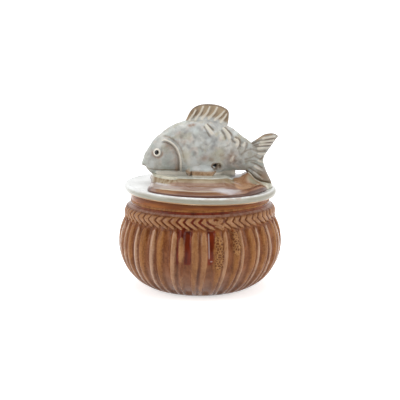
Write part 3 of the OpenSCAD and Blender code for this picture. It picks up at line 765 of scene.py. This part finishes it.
# Lavender painted on the ledge, a painted reflection.
lavender = smear.tones((140, 108, 94), (180, 166, 160))
colour = shade.patch("ledge", 0.2, 0.8, (0.3, cloud)).mix(colour, lavender)
colour = shade.patch("brow", 0.3, 0.9, (0.5, smear)).mix(colour, rgb(206, 190, 164))
crest_tan = cloud.tones((172, 134, 102), (146, 104, 74))
crest_tan = shade.patch("mossy", 0.25, 0.9, (0.5, cloud)).mix(crest_tan, rgb(152, 144, 122))
colour = shade.patch("crest", 0.25, 0.75, (0.3, cloud)).mix(colour, crest_tan)
colour = shade.patch("low", 0.2, 0.8, (0.5, smear)).mix(
    colour, smear.tones((112, 68, 38), (146, 102, 64), 0.3, 0.7))
# White glaze pools, with painted reflections on the skirt and behind the tail.
colour = shade.patch("puddle", 0.2, 0.95, (0.5, cloud), (0.4, smear)).mix(
    colour, smear.tones((188, 178, 182), (214, 211, 213), 0.3, 0.7))
colour = shade.patch("ember", 0.35, 0.9, (0.4, cloud)).mix(colour, rgb(112, 52, 16))
colour = shade.patch("dark", 0.3, 0.8, (0.4, smear)).mix(colour, rgb(92, 60, 48))
cream = (shade.painted("ridge").most(shade.painted("lip")) + 0.5 * (fine - 0.5)).ease(0.25, 0.7)
colour = cream.mix(colour, cloud.tones((166, 164, 146), (206, 200, 182)))
finish_glaze(shade, colour, 0.14 + 0.16 * streak, cloud + 0.6 * streak, 0.22, 0.12, 0.3)
skin("plinth", points, "plinth_glaze", "lid", ["fish_plinth"], amber, wall=wall, rust=rust, streaky=streaky,
     ledge=ledge, brow=brow, low=low, dark=dark, lip=lip, crest=on_crest, mossy=mossy, ridge=ridge,
     ember=ember, puddle=puddle)

# Fish: the lid's handle, a hollow body of clay modelled by hand and set into the platform while it was soft.
# Scales are pressed into the flanks, the mouth is cut, and a hole behind the pelvic fin let out the steam.
# Its glaze is grey where it is thick, cream where it runs off an edge, and brown in the hollows.
# Some of that brown, and a darker tone on the lower head and towards the tail, is painted shade, and the
# cream low on the flank is partly painted light.
mouth_x, root_x = -36.5, 38.0
fish_half = (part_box("fish_body")[1][1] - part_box("fish_body")[0][1]) / 2 / MM
back = ((-36.5, 13.5), (-34.3, 19.5), (-28, 28.9), (-18.6, 36.3), (-9.8, 39.9), (2, 41.1), (12, 39.1),
        (19, 35.7), (27.3, 29.7), (32, 26.3), (38, 24))
belly = ((-36.5, 11.7), (-34.8, 11), (-33, 9), (-31.4, 7.3), (-29.3, 6.5), (-26, 6.3), (-10, 6.3), (7, 6.4),
         (11.5, 7.9), (16, 9.2), (22, 9.5), (27, 9.7), (31, 10.6), (38, 13.5))
girth = ((-36.5, 0.1), (-35.6, 0.26), (-34, 0.4), (-28, 0.7), (-18, 0.94), (-6, 1), (6, 0.96), (16, 0.77),
         (24, 0.54), (30, 0.34), (38, 0.09))
section_power = 2.2


def section(x):
    """Middle height, half height and half thickness of the fish at x."""
    top, bottom = through(back, x), through(belly, x)
    return (top + bottom) / 2, (top - bottom) / 2, through(girth, x) * fish_half


def flank_y(x, z):
    """How far the flank stands from the fish's middle plane, at a place in side view."""
    middle, tall, wide = section(x)
    share = np.clip(np.abs(z - middle) / tall, 0, 1)
    return wide * (1 - share ** section_power) ** (1 / section_power)


def curve(points, count):
    """Evenly spaced points on the smooth curve through a few points."""
    points = np.array(points, float)
    ends = np.concatenate([[2 * points[0] - points[1]], points, [2 * points[-1] - points[-2]]])
    t = np.linspace(0, 1, 16, endpoint=False)[:, None]
    run = [b + t / 2 * (c - a) + t * t / 2 * (2 * a - 5 * b + 4 * c - d)
           + t ** 3 / 2 * (3 * b - a - 3 * c + d)
           for a, b, c, d in zip(ends, ends[1:], ends[2:], ends[3:])]
    run = np.concatenate(run + [points[-1:]])
    far = np.concatenate([[0], np.cumsum(np.linalg.norm(np.diff(run, axis=0), axis=1))])
    even = np.linspace(0, far[-1], count)
    return np.stack([np.interp(even, far, run[:, 0]), np.interp(even, far, run[:, 1])], 1)


def away_from(path, x, z):
    """Distance of places in side view from a path, positive to its right, and how far along they are."""
    best = np.full(x.shape, 1e9)
    along = np.zeros(x.shape)
    for i, ((x0, z0), (x1, z1)) in enumerate(zip(path, path[1:])):
        run, climb = x1 - x0, z1 - z0
        t = np.clip(((x - x0) * run + (z - z0) * climb) / (run * run + climb * climb), 0, 1)
        off = np.hypot(x - x0 - t * run, z - z0 - t * climb)
        off = np.where((x - x0) * climb - (z - z0) * run < 0, -off, off)
        nearer = np.abs(off) < np.abs(best)
        along = np.where(nearer, (i + t) / (len(path) - 1), along)
        best = np.where(nearer, off, best)
    return best, along


stations = (mouth_x + root_x) / 2 - (root_x - mouth_x) / 2 * np.cos(np.linspace(0, np.pi, 240))
around = np.linspace(0, 2 * np.pi, 224, endpoint=False)[None, :]
x = stations[:, None] + 0 * around
middle, tall, wide = section(x)
ring = [np.sign(f) * np.abs(f) ** (2 / section_power) for f in (np.cos(around), np.sin(around))]
y, z = wide * ring[0], middle + tall * ring[1]
points = np.stack([x, y, z], 2)
normal = np.cross(np.roll(points, -1, 1) - np.roll(points, 1, 1), np.gradient(points, axis=0))
normal /= np.maximum(np.linalg.norm(normal, axis=2, keepdims=True), 1e-9)
normal *= np.sign(np.sum(normal * np.stack([0 * x, y, z - middle], 2), 2, keepdims=True))

# Soft scales overlap like roof tiles, in rows that follow the back.
scale_long, scale_high, flank_high = 7.4, 6.4, 17
row = (z - middle) / tall * flank_high / scale_high
relief = np.zeros(x.shape)
outline = np.zeros(x.shape)
for step in range(2, -3, -1):
    for lane in (-1, 0, 1):
        this_row = np.round(row) + lane
        stagger = 0.5 * (this_row % 2)
        centre = (np.floor(x / scale_long - stagger) + 0.5 + stagger + step) * scale_long
        jitter = np.sin(centre * 1.7 + this_row * 2.9)
        along = (x - centre - 0.5 * jitter) / (0.66 * scale_long)
        aside = (row - this_row - 0.06 * jitter) / 0.68
        reach = np.hypot(along, aside)
        relief = np.where(reach < 1, 0.5 + 0.5 * along, relief)
        outline = np.where(reach < 1, past(reach, 0.55, 0.4) * smooth(along / 0.4), outline)
scaled = past(x, -12, 14) * short_of(x, 33, 10) * past(row, -1.9, 1.5) * short_of(row, 2.7, 0.9)
push = 0.3 * relief * scaled


def strokes(paths, x, z, half):
    """Distance of places from the nearest of some drawn strokes, and how strongly the strokes show there."""
    best = np.full(x.shape, 99.0)
    shown = np.zeros(x.shape)
    for path in paths:
        off, along = away_from(curve(path, 10), x, z)
        best = np.where(np.abs(off) < np.abs(best), -off, best)
        shown = np.maximum(shown, hill(off, half * (1.15 - 0.45 * along)))
    return best, shown


def spot(x, z, at_x, at_z, size, wide=1):
    """A soft patch round a place in side view, wide times as long as it is high."""
    return hill(np.hypot((x - at_x) / wide, z - at_z), size)


# The big scales behind the dorsal fin were drawn with a tool: a ridge that widens, a hollow on each side.
# The hollows are painted brown too, a painted shadow beside each ridge.
big_scales = (((1.8, 39.2), (3.5, 37.1), (5.6, 34.4), (8.3, 31.6)),
              ((12.3, 37.2), (14.7, 34.8), (16.7, 31.6), (17.5, 27.8)),
              ((10.7, 35.2), (12.1, 32), (12.6, 28)), ((19.4, 30.4), (22.6, 27.8), (20.3, 24.4)),
              ((26.8, 28), (26.3, 26.4), (25, 24.6)), ((19.8, 20.4), (18.9, 17.6), (17.8, 14.8)))
scale_strengths = (1, 1, 0.5, 1, 0.7, 0.6)
cream_line = 0.4 * outline * scaled * past(x, -2, 10)
brown_line = np.zeros(x.shape)
for path, strength in zip(big_scales, scale_strengths):
    off, along = away_from(curve(path, 12), x, z)
    off = -off
    shown = strength * smooth(along / 0.15) * short_of(along, 1.05, 0.4)
    half = 0.55 + 0.7 * along
    ridge = smooth((1.6 * half - np.abs(off)) / (1.1 * half))
    before, after = hill(off + 1.9 * half, 0.9), hill(off - 2.1 * half, 0.75) * short_of(along, 0.9, 0.3)
    push += shown * (0.75 * ridge - 0.4 * before - 0.5 * after)
    cream_line = np.maximum(cream_line, shown * ridge)
    brown_line = np.maximum(brown_line, shown * (0.65 * before + 0.8 * after))
# Lines scratched towards the tail
rear_lines = (((18.7, 29.8), (19.3, 28.1), (19.1, 26.2)), ((24, 27.9), (23.8, 26), (22.7, 24)),
              ((28.5, 26.5), (28, 24.6), (26.8, 22.7)), ((25.1, 20.4), (27.4, 22.4), (31.2, 23.3)),
              ((27.7, 17.1), (31.2, 18.1), (34.7, 19.7)), ((27.8, 15.4), (30.7, 16.3), (34.2, 15.8)),
              ((32.1, 26.7), (36.8, 28.6), (45.8, 30.1)), ((32.2, 25.2), (38, 26.7), (44.7, 27.6)),
              ((32.8, 24.4), (37.5, 25.2), (43, 25.6)), ((32.2, 23.2), (35.8, 21.8), (39.9, 22.1)),
              ((33.5, 19), (37.1, 17), (38.5, 18.5)), ((31.3, 15.1), (34.9, 13.4), (38.2, 11.4)),
              ((30.2, 11.5), (33.8, 9.2), (37.4, 6.6)))
scratch = strokes(rear_lines, x, z, 1.0)[1]
push -= 0.3 * scratch
brown_line = np.maximum(brown_line, 0.6 * scratch)

# A groove behind the gill covers is brown, with rust before it and a paler band behind.
# Just behind the covers the flank is painted darker as well, a painted shade.
gill = ((-24.8, 27.9), (-22.3, 28.8), (-19.5, 28.2), (-16.7, 26.5), (-14.5, 23.9), (-13.1, 20.6), (-12.3, 17),
        (-12.1, 13.2), (-12.1, 9.9), (-12.3, 6.5))
gill_path = curve(gill, 44)
off, along = away_from(gill_path, x, z)
off = -off
gill_groove = hill(off + 1.3, 0.65) * smooth(along / 0.05)
behind_gill = hill(off - 2.1, 1.1) * smooth(along / 0.1) * short_of(along, 0.85, 0.3)
push += -0.5 * gill_groove + 0.35 * smooth(off - 0.5) * hill(off, 4) * smooth(along / 0.2)
brown_line = most(brown_line, 0.75 * gill_groove, 0.6 * behind_gill)
cream_line = most(cream_line, 0.42 * hill(off - 5, 2.4) * smooth(along / 0.25),
                  0.36 * spot(x, z, 20, 28, 4.5, 1.3))
blush = hill(off + 2.5, 1.3) * smooth(along / 0.1) * (0.6 + 0.4 * short_of(z, 17, 6))
blush = most(blush, 0.9 * spot(x, z, -20.8, 25.7, 1.5), 0.9 * spot(x, z, -16.6, 21.8, 1.4))
eye_x, eye_z, eye_r = -26.9, 21.0, 2.5
from_eye = np.hypot(x - eye_x, z - eye_z)
push -= 0.3 * hill(from_eye - eye_r - 0.9, 0.9)
around_eye = hill(from_eye - eye_r - 0.7, 0.8) * smooth((2.4 - (z - eye_z)) / 3)
blush = np.maximum(blush, 0.9 * around_eye)
brown_line = np.maximum(brown_line, 0.45 * around_eye)

# The mouth is a cut between two lips. The flanks are a little uneven, as hands leave them.
lip = away_from(curve(((-38, 12.4), (-35.8, 12.2), (-34, 11.4)), 12), x, z)[0]
mouth = hill(lip, 0.4) * short_of(x, -33.6, 1.2)
push += 0.3 * hill(np.abs(lip) - 0.9, 0.5) * short_of(x, -34, 1.5) - 0.45 * mouth
push += (0.22 * np.sin(x * 0.33 + 1) * np.sin(z * 0.41)
         + 0.12 * np.sin(x * 0.9 + z * 0.5) * np.sin(z * 0.8 - x * 0.3))

# The steam hole is in the left flank only, with a curl of clay beside it and an arch over both.
# The hole is painted near-black, and the hollow of the curl and the flank below the hole are painted brown:
# all painted shade.
left_flank = y <= 0
past_flank = np.where(left_flank, 0, 99)
vent_x, vent_z, vent_r = 8.8, 13.4, 1.2
from_vent = np.hypot(x - vent_x, z - vent_z) + past_flank
vent = short_of(from_vent, vent_r + 0.3, 0.5)
curl = np.hypot((x - vent_x - 2.9) / 0.8, z - vent_z + 0.5) + past_flank
arch = np.hypot(x - vent_x - 1.6, z - vent_z + 0.6) + past_flank - 3.1
push += 0.5 * hill(arch, 0.6) - 2.2 * vent - 0.9 * hill(curl, 1.0)
# Painted shade on the flank below the hole.
below_vent = (9.2, 11.4, 1.1, 1.8)
brown_line = most(brown_line, 1.1 * hill(from_vent - vent_r - 0.4, 0.9), 1.2 * hill(curl, 1.5),
                  0.7 * hill(arch + 0.9, 0.7) * smooth((z - vent_z + 1) / 2),
                  left_flank * spot(x, z, *below_vent))

# Shallow dents left by the maker's thumb hold darker glaze.
dents = ((-9.6, 34.3, 1.3), (-6.9, 25.6, 1.6), (-4.4, 31.3, 1.3), (-0.4, 24.9, 1.7), (-4.3, 21.2, 1.4),
         (7.1, 24.8, 1.7), (8.8, 28.7, 1.3), (13.6, 23.3, 2.0), (-12.3, 31.7, 1.3), (-11.2, 26.1, 1.3),
         (-3.8, 28.4, 1.3), (3, 28, 1.5), (17.2, 20.5, 1.2), (20.9, 15.2, 1.3), (18.7, 22.4, 1.1),
         (24, 21, 1.3), (28.2, 13.7, 0.7), (24.5, 16, 1.2))
# Behind each scale's edge the flank is painted darker, a painted shadow.
shadow = 0.45 * short_of(relief, 0.35, 0.35) * scaled
for at_x, at_z, size in dents:
    ragged_x, ragged_z = 0.7 * np.sin(z * 1.3 + at_x), 0.6 * np.sin(x * 1.5 + at_z)
    dent = hill(np.hypot(x - at_x + ragged_x, (z - at_z + ragged_z) * 0.8), 1.25 * size)
    push -= 0.3 * dent
    shadow = np.maximum(shadow, 0.85 * dent)

# Spots where the glaze is rusty, on the left flank only, and where it is paler or yellower, on both flanks.
rust_spots = ((18.8, 18.6, 4.2, 0.8, 1), (2.1, 18.5, 2, 1.2, 1), (6.2, 17.4, 1.3, 1.4, 0.8),
              (-7.2, 37.8, 0.8, 1.8, 1.1), (-5, 38.2, 0.8, 1.8, 1.1), (13, 20, 1.6, 1.2, 0.5))
pale_spots = ((-4.2, 35.4, 2.4), (-2.2, 27, 2.2), (3.4, 14.8, 3.6), (-5, 14.5, 3), (21, 33, 1.8),
              (4.5, 29.5, 1.6))
olive_spots = ((11.4, 22, 4.2), (-9.6, 20, 3.6), (14, 30.5, 2.2), (9.5, 33, 1.8), (23, 30.5, 2),
               (12, 15, 2.4))
for *place, much in rust_spots:
    blush = np.maximum(blush, much * left_flank * spot(x, z, *place))
pale = most(*(spot(x, z, *place, 1.2) for place in pale_spots))
olive = most(*(spot(x, z, *place) for place in olive_spots))

# The foot spreads a little where it was pressed into the platform. The glaze is cream in the bend, and the
# cream is painted on up the lower flank, a painted light where the flank turns under into shade. A brown line
# is painted under the head.
foot_out, foot_h = 2.4, 2.8
behind_chin = past(x, -29, 3)
foot = hill(z - platform_h - 0.5 - 0.3 * np.sin(x * 0.7), 1.1) * behind_chin
push += 1.2 * foot
cream_line = most(cream_line, foot, short_of(z, platform_h + 2.6, 1.2) * behind_chin)
above_foot = z - np.maximum(platform_h + 2.4, through(belly, x))
brown_line = np.maximum(brown_line, 0.7 * hill(above_foot - 0.4, 0.6) * short_of(x, -11, 2))
# The lower head and the rear towards the tail are painted darker, a painted shade.
dusk = np.maximum(0.7 * smooth((-off - 1) / 6) * short_of(z, 30, 8), 0.9 * past(x, 17, 10))
ends = smooth(x - mouth_x)[:, :, None]
points = points + normal * (push[:, :, None] * ends)
spread = smooth((platform_h + foot_h - z) / foot_h) ** 1.5 * behind_chin
points[:, :, 1] += foot_out * spread * np.clip(y / 2, -1, 1)
points[:, :, 2] += plate_top

silver, shade = start_material("silver_glaze")
cloud = shade.noise(9, 3, 0.55, 0.5)
blotch = shade.noise(4.2, 2, 0.5, 0.6)
fine = shade.noise(1.2, 4, 0.6)
colour = (0.6 * cloud + 0.4 * blotch).tones((162, 163, 160), (200, 200, 194), 0.38, 0.62)
colour = (blotch.ease(0.52, 0.68) * 0.55).mix(colour, rgb(146, 146, 146))
# Drifts of green, pink, olive and white: their size, detail and twist, where they begin and are full, how
# strong they are, and their colour.
drifts = ((11, 2, 0, 0.5, 0.62, 0.45, (172, 186, 178)), (5, 2, 0.4, 0.54, 0.68, 0.45, (198, 182, 170)),
          (7, 3, 0.6, 0.52, 0.66, 0.5, (164, 158, 136)), (4, 2, 0.3, 0.56, 0.7, 0.5, (202, 208, 208)))
for size, detail, twist, low, high, much, tint in drifts:
    colour = (shade.noise(size, detail, 0.5, twist).ease(low, high) * much).mix(colour, rgb(*tint))
# Painted shade on the lower head, towards the tail and on the tail fin.
colour = (shade.painted("dusk") * (0.4 + 0.5 * (cloud - 0.3))).mix(colour, rgb(140, 137, 126))
for key, low, grain, much, tint in (("shadow", 0.15, 0.9, 0.55, (122, 121, 119)),
                                    ("olive", 0.2, 0.6, 0.65, (174, 166, 140)),
                                    ("pale", 0.2, 0.6, 0.7, (206, 211, 209))):
    colour = (shade.patch(key, low, 1.0, (grain, blotch)) * much).mix(colour, rgb(*tint))
rusty = shade.noise(10, 3, 0.6, 0.6).ease(0.6, 0.76) * 0.35
rusty = rusty.most(shade.painted("blush") * (0.5 + 0.9 * (blotch - 0.25)))
colour = rusty.mix(colour, fine.mix(rgb(126, 98, 78), rgb(164, 136, 116)))
colour = shade.patch("rust", 0.15, 1.0, (0.3, fine), (0.9, blotch)).mix(
    colour, fine.tones((140, 108, 78), (170, 142, 112), 0.3, 0.7))
colour = shade.patch("tan", 0.15, 0.95, (0.5, cloud)).mix(
    colour, cloud.tones((138, 116, 92), (168, 148, 122)))
# Brown in the hollows, with painted shade beside the scales, behind the gill covers, about the vent and
# between the dorsal rays.
hollow = shade.patch("groove", 0.2, 0.9, (0.4, blotch), (0.3, fine))
colour = (hollow * 0.9).mix(colour, cloud.tones((104, 86, 66), (128, 112, 94)))
# Cream where the glaze runs off edges, and painted light low on the flank.
cream = shade.patch("edge", 0.2, 0.85, (0.35, cloud), (0.25, fine))
colour = (cream * 0.85).mix(colour, rgb(214, 207, 193))
colour = shade.patch("rim", 0.3, 0.8, (0.3, blotch)).mix(
    colour, cloud.tones((104, 88, 72), (130, 110, 90)))
# The steam hole is painted near-black, a painted shade.
colour = shade.painted("hole").ease(0.3, 0.7).mix(colour, rgb(28, 20, 15))
finish_glaze(shade, colour, 0.18 + 0.16 * fine, cloud + blotch + 0.3 * fine, 0.3, 0.12, 0.3)
skin("fish", points, "fish_glaze", "lid", ["fish_body"], silver, edge=cream_line,
     groove=np.maximum(brown_line, mouth), blush=blush, shadow=shadow, dusk=dusk, pale=pale, olive=olive,
     hole=vent)

# Gill covers: a thin coil of clay on each side of the head, its rear edge smoothed into the flank.
# The glaze runs off it to cream, and lies brown along its inner edge.
gill_half, gill_rise, gill_sunk = 0.75, 0.8, 0.3
ahead = np.gradient(gill_path, axis=0)
ahead /= np.linalg.norm(ahead, axis=1, keepdims=True)
across = np.linspace(-1, 1, 13)[None, :]
end_round = np.sqrt(np.clip(1 - np.abs(np.linspace(-1, 1, len(gill_path))) ** 8, 0.02, 1))[:, None]
ridge_x = gill_path[:, :1] - ahead[:, 1:] * across * gill_half * end_round
ridge_z = gill_path[:, 1:] + ahead[:, :1] * across * gill_half * end_round
dome = np.sqrt(np.clip(1 - across ** 2, 0, 1))
ridge_y = flank_y(ridge_x, ridge_z) - gill_sunk + (gill_rise + gill_sunk) * end_round * dome
under_y = np.minimum(flank_y(ridge_x, ridge_z) - 0.8, ridge_y - 0.2)
crown = np.concatenate([0.85 * dome, 0 * dome], 1)
inner = np.concatenate([smooth((-across - 0.35) / 0.5), 0 * dome], 1)
for name, side in (("left", -1), ("right", 1)):
    top = np.stack([ridge_x, side * ridge_y, ridge_z + plate_top], 2)
    under = np.stack([ridge_x, side * under_y, ridge_z + plate_top], 2)[:, ::-1]
    skin(name + "_gill", np.concatenate([top, under], 1), "fish_glaze", "lid", [name + "_gill_cover"], silver,
         edge=crown * (1 - inner), groove=inner)

# Fins: slabs of clay, drawn with rays on both faces and luted into the body. The dorsal fin's rays lean back.
# The tail's lower lobe rests on the plinth's crest. The glaze is brown along the rims and cream on the rays.
fin_half, anal_half = 1.7, 3.0


def rounded(t, share):
    """Thickness near an edge at t = 0, as a share of the full thickness."""
    return np.sqrt(np.clip(1 - (1 - np.clip(t / share, 0, 1)) ** 2, 0.03, 1))


def both_faces(glaze):
    """Glaze for one face of a slab and, in the other order, for the face behind it."""
    return {key: np.concatenate([values, values[:, ::-1]], 1) for key, values in glaze.items()}


def fin(name, root, rim, front, rear, counts, half, mark, corner=0.08, rim_wide=0.05, flare=0.0):
    """A fin between four curves in side view: root and rim run to the rear, front and rear to the rim.
    Mark gives the rays' relief and the glaze by name. Flare thickens the fin at its root."""
    root, rim = curve(root, counts[0]), curve(rim, counts[0])
    front, rear = curve(front, counts[1]), curve(rear, counts[1])
    u, v = np.linspace(0, 1, counts[0])[:, None, None], np.linspace(0, 1, counts[1])[None, :, None]
    flat = ((1 - v) * root[:, None] + v * rim[:, None] + (1 - u) * front[None] + u * rear[None]
            - (1 - u) * (1 - v) * root[0] - u * (1 - v) * root[-1] - (1 - u) * v * rim[0] - u * v * rim[-1])
    u, v = u[:, :, 0], v[:, :, 0]
    relief, glaze = mark(flat[:, :, 0], flat[:, :, 1], u, v)
    inside = short_of(v, 1, 0.14) * smooth(u / 0.07) * short_of(u, 1, 0.07)
    full = half * (1 - 0.2 * v) + flare * short_of(v, 0.6, 0.45) ** 2
    thick = full * rounded(1 - v, 0.12) * rounded(u, corner) * rounded(1 - u, corner) + relief * inside
    near = np.stack([flat[:, :, 0], -thick, flat[:, :, 1]], 2)
    far = np.stack([flat[:, :, 0], thick, flat[:, :, 1]], 2)[:, ::-1]
    points = np.concatenate([near, far], 1)
    points[:, :, 2] += plate_top
    at_edge = past(v, 0.25, 0.15) * np.maximum(short_of(u, 0.03, 0.03), past(u, 0.97, 0.03))
    glaze["rim"] = np.maximum(smooth((v - 1 + rim_wide) / (0.6 * rim_wide)), at_edge)
    glaze["edge"] = glaze["edge"] * (1 - glaze["rim"])
    skin(name, points, "fin_glaze", "lid", [name], silver, **both_faces(glaze))


dorsal_rays = (((-7.4, 40.6), (-5, 44.3), (-3.8, 46.6)), ((-3.8, 41), (-0.9, 45.1), (0.8, 48.9)),
               ((0.2, 41.6), (3.3, 45.3), (4.8, 48.8)), ((4.4, 41.8), (7.7, 45.4), (9.5, 48.9)),
               ((8.2, 41), (11.4, 43.7), (13.8, 46.4)), ((11.8, 39.8), (14.2, 42.7), (15.4, 44.7)))


def dorsal_mark(x, z, u, v):
    off, ray = strokes(dorsal_rays, x, z, 0.8)
    # The hollow beside each ray is painted darker, a painted shade.
    gap = hill(off + 1.35, 0.75) * past(v, 0.3, 0.2)
    tan = past(v, 0.18, 0.45)
    pale = np.maximum(0.95 * ray, 0.2 * hill(v - 0.36, 0.14))
    return 0.5 * ray - 0.3 * gap, {"edge": pale, "groove": 0.6 * gap * short_of(v, 0.95, 0.3), "tan": tan}


tail_rays = (((38.3, 29.9), (41.8, 30.6), (45.3, 31.3)), ((36.9, 27.6), (41, 28.2), (44.8, 28.9)),
             ((36.3, 25.9), (39.6, 26.3), (43.5, 26.5)), ((35.3, 23.6), (38.5, 23.9), (42, 24.4)),
             ((33.5, 20.8), (37, 20.2), (40, 20.6)), ((34.5, 16.4), (37, 15.4), (39, 15)),
             ((33.5, 12.2), (36, 10.8), (38.5, 9.4)), ((33, 8.6), (35.5, 6.6), (38.5, 4.4)))
top_edge = (((34.4, 29.3), (39, 31.8), (43.7, 32.6)),)


def tail_mark(x, z, u, v):
    ray, scratch = strokes(tail_rays, x, z, 0.9)[1], strokes(rear_lines, x, z, 0.9)[1]
    lower = short_of(z, 14, 6)
    foot_edge = past(u, 0.88, 0.08)
    blush = np.maximum(1.2 * spot(x, z, 39.6, 6, 2.4), 0.9 * spot(x, z, 36.6, 17.6, 1.5))
    tan = np.maximum(strokes(top_edge, x, z, 1.2)[1], 0.35 * past(v, 0.3, 0.4) + 0.3 * lower)
    # The tail is painted a little darker all over, a painted shade.
    glaze = {"edge": 0.85 * ray * (1 - 0.4 * lower), "groove": np.maximum(0.75 * scratch, foot_edge),
             "tan": tan, "blush": blush, "dusk": 0.2 + 0 * x}
    return 0.5 * ray - 0.4 * scratch, glaze


def anal_mark(x, z, u, v):
    # A cream band painted across the middle of the fin is a painted highlight.
    return 0 * x, {"edge": 0.8 * hill(v - 0.55, 0.3), "tan": 0.5 + 0 * x}


dorsal_root = ((-10.6, 36), (0, 38), (15.4, 34))
dorsal_rim = ((-8.9, 42.2), (-7.4, 45.2), (-5.7, 47.4), (-3, 49.2), (0.3, 50.2), (4.5, 50.5), (8.4, 50.2),
              (11.8, 49.4), (14.7, 48), (16.3, 46.6), (16.9, 45))
dorsal_front = ((-10.6, 36), (-9.9, 39.6), (-8.9, 42.2))
dorsal_rear = ((15.4, 34), (16.6, 40), (16.9, 45))
fin("dorsal_fin", dorsal_root, dorsal_rim, dorsal_front, dorsal_rear, (130, 56), fin_half, dorsal_mark,
    rim_wide=0.09, flare=2.2)
tail_root = ((31.2, 27.3), (33.5, 22.5), (34.5, 18), (33, 14), (27.2, 10))
tail_rim = ((47.7, 31.4), (45.9, 29), (43.3, 24.9), (40.8, 21.1), (39.5, 18.8), (39, 16.6), (39.3, 13.9),
            (40.5, 10.4), (42.3, 6.5), (44, 3.2), (44.8, 0.8))
tail_top = ((31.2, 27.3), (34.6, 29.3), (38.3, 31.9), (41, 32.8), (44.1, 33.1), (46.4, 32.4), (47.7, 31.4))
tail_foot = ((27.2, 10), (29.1, 8.3), (31.8, 5.8), (35, 3.1), (38.5, 1.5), (41.2, 1), (44.8, 0.8))
fin("tail_fin", tail_root, tail_rim, tail_top, tail_foot, (120, 60), fin_half, tail_mark)
anal_z = platform_h - 2
anal_root = ((9.5, 9), (12, 11), (17, 12), (21.2, 11))
anal_rim = ((9.5, anal_z), (15, anal_z), (21.6, anal_z))
anal_front = ((9.5, 9), (9.5, anal_z))
anal_rear = ((21.2, 11), (21.8, 9), (21.6, anal_z))
fin("anal_fin", anal_root, anal_rim, anal_front, anal_rear, (40, 20), anal_half, anal_mark, corner=0.2)

# Pelvic fins: a pad of clay smoothed down from each flank, so that it stands free only at its lower edge.
# The glaze is pale on top and rust below, with a cream edge, and lies dark in the corner before the fin.
pelvic_y, pelvic_lean, pelvic_t = 13.4, 0.36, 2.2
u, v = np.linspace(0, 1, 90)[:, None], np.linspace(0, 1, 48)[None, :]
front_x, rear_x = -10.2 + 0.4 * v, 11.4 - 2 * v
pad_x = front_x + u * (rear_x - front_x)
pad_z = (15.5 - 4 * (2 * u - 0.9) ** 2) * (1 - v) + (platform_h - 0.1) * v
on_flank = flank_y(pad_x, pad_z)
hangs = pelvic_y - (pad_z - platform_h) * pelvic_lean
stands = smooth(v / 0.7) * smooth(u / 0.14) * short_of(u, 1, 0.12) * (1 - 0.25 * hill(pad_x + 5.6, 0.7))
pad_y = on_flank - 0.25 + stands * np.maximum(hangs - on_flank, 0)
lump = short_of(pad_x, -5.2, 1.6) * short_of(pad_z, 13.2, 3)
band = short_of(pad_z, 11.2, 1.8)
corner_dark = lump * (0.35 + 0.65 * short_of(pad_z, 9.6, 1.6)) + 0.6 * hill(pad_x + 5.5, 0.6) * band
painted = both_faces({
    "rust": np.maximum(0.75 * lump, band),
    "pale": 0.9 * past(pad_z, 10.2, 1.2) * past(pad_x, -7, 4),
    "edge": 1.2 * short_of(pad_z, platform_h + 0.6, 0.6) * (1 - lump),
    # Below the vent the pad is painted dark as well, a painted shade.
    "groove": corner_dark + spot(pad_x, pad_z, *below_vent),
})
for name, side in (("left", -1), ("right", 1)):
    outer = np.stack([pad_x, side * pad_y, pad_z + plate_top], 2)
    inner = np.stack([pad_x, side * (pad_y - pelvic_t), pad_z + plate_top], 2)[:, ::-1]
    skin(name + "_pelvic_fin", np.concatenate([outer, inner], 1), "fin_glaze", "lid",
         [name + "_pelvic_fin"], silver, **painted)

# Eyes: a flattened pellet of clay luted to each side of the head, under a glossy white glaze.
# A drop of black glaze on it is the pupil.
eye_rise = 0.75
pupil_r, pupil_rise = 1.45, 0.4
nudge = 0.1
eye_y, ahead_y, above_y = (float(flank_y(np.array(eye_x + run), np.array(eye_z + climb)))
                           for run, climb in ((0, 0), (nudge, 0), (0, nudge)))
facing = np.array([(eye_y - ahead_y) / nudge, 1, (eye_y - above_y) / nudge])
facing /= np.linalg.norm(facing)
level_way = np.cross(facing, (0, 0, 1))
level_way /= np.linalg.norm(level_way)
up_way = np.cross(level_way, facing)


def pellet(name, radius, rise, base, slot, material, side):
    """A low dome on the flank, with its foot sunk below the surface."""
    tilt = np.radians(np.linspace(90, -35, 20))[:, None, None]
    spin = np.linspace(0, 2 * np.pi, 48, endpoint=False)[None, :, None]
    points = (np.array([eye_x, eye_y, eye_z + plate_top]) + (base + rise * np.sin(tilt)) * facing
              + radius * np.cos(tilt) * (np.cos(spin) * level_way + np.sin(spin) * up_way))
    points[:, :, 1] *= side
    skin(name, points, slot, "lid", [name], material)


eye_white, shade = start_material("eye_white")
fine = shade.noise(0.9, 3, 0.6)
colour = fine.tones((210, 203, 188), (234, 229, 217), 0.3, 0.7)
finish_glaze(shade, colour, 0.15 + 0.1 * fine, fine, 0.08, 0.5)
eye_black, shade = start_material("eye_black")
fine = shade.noise(0.7, 2, 0.5)
finish_glaze(shade, fine.mix(rgb(10, 9, 8), rgb(22, 19, 17)), 0.15 + 0.1 * fine, fine, 0.05, 0.1, 0.3)
for name, side in (("left", -1), ("right", 1)):
    pellet(name + "_eye", eye_r, eye_rise, 0, "eye_white", eye_white, side)
    pellet(name + "_pupil", pupil_r, pupil_rise, eye_rise - 0.1, "eye_black", eye_black, side)
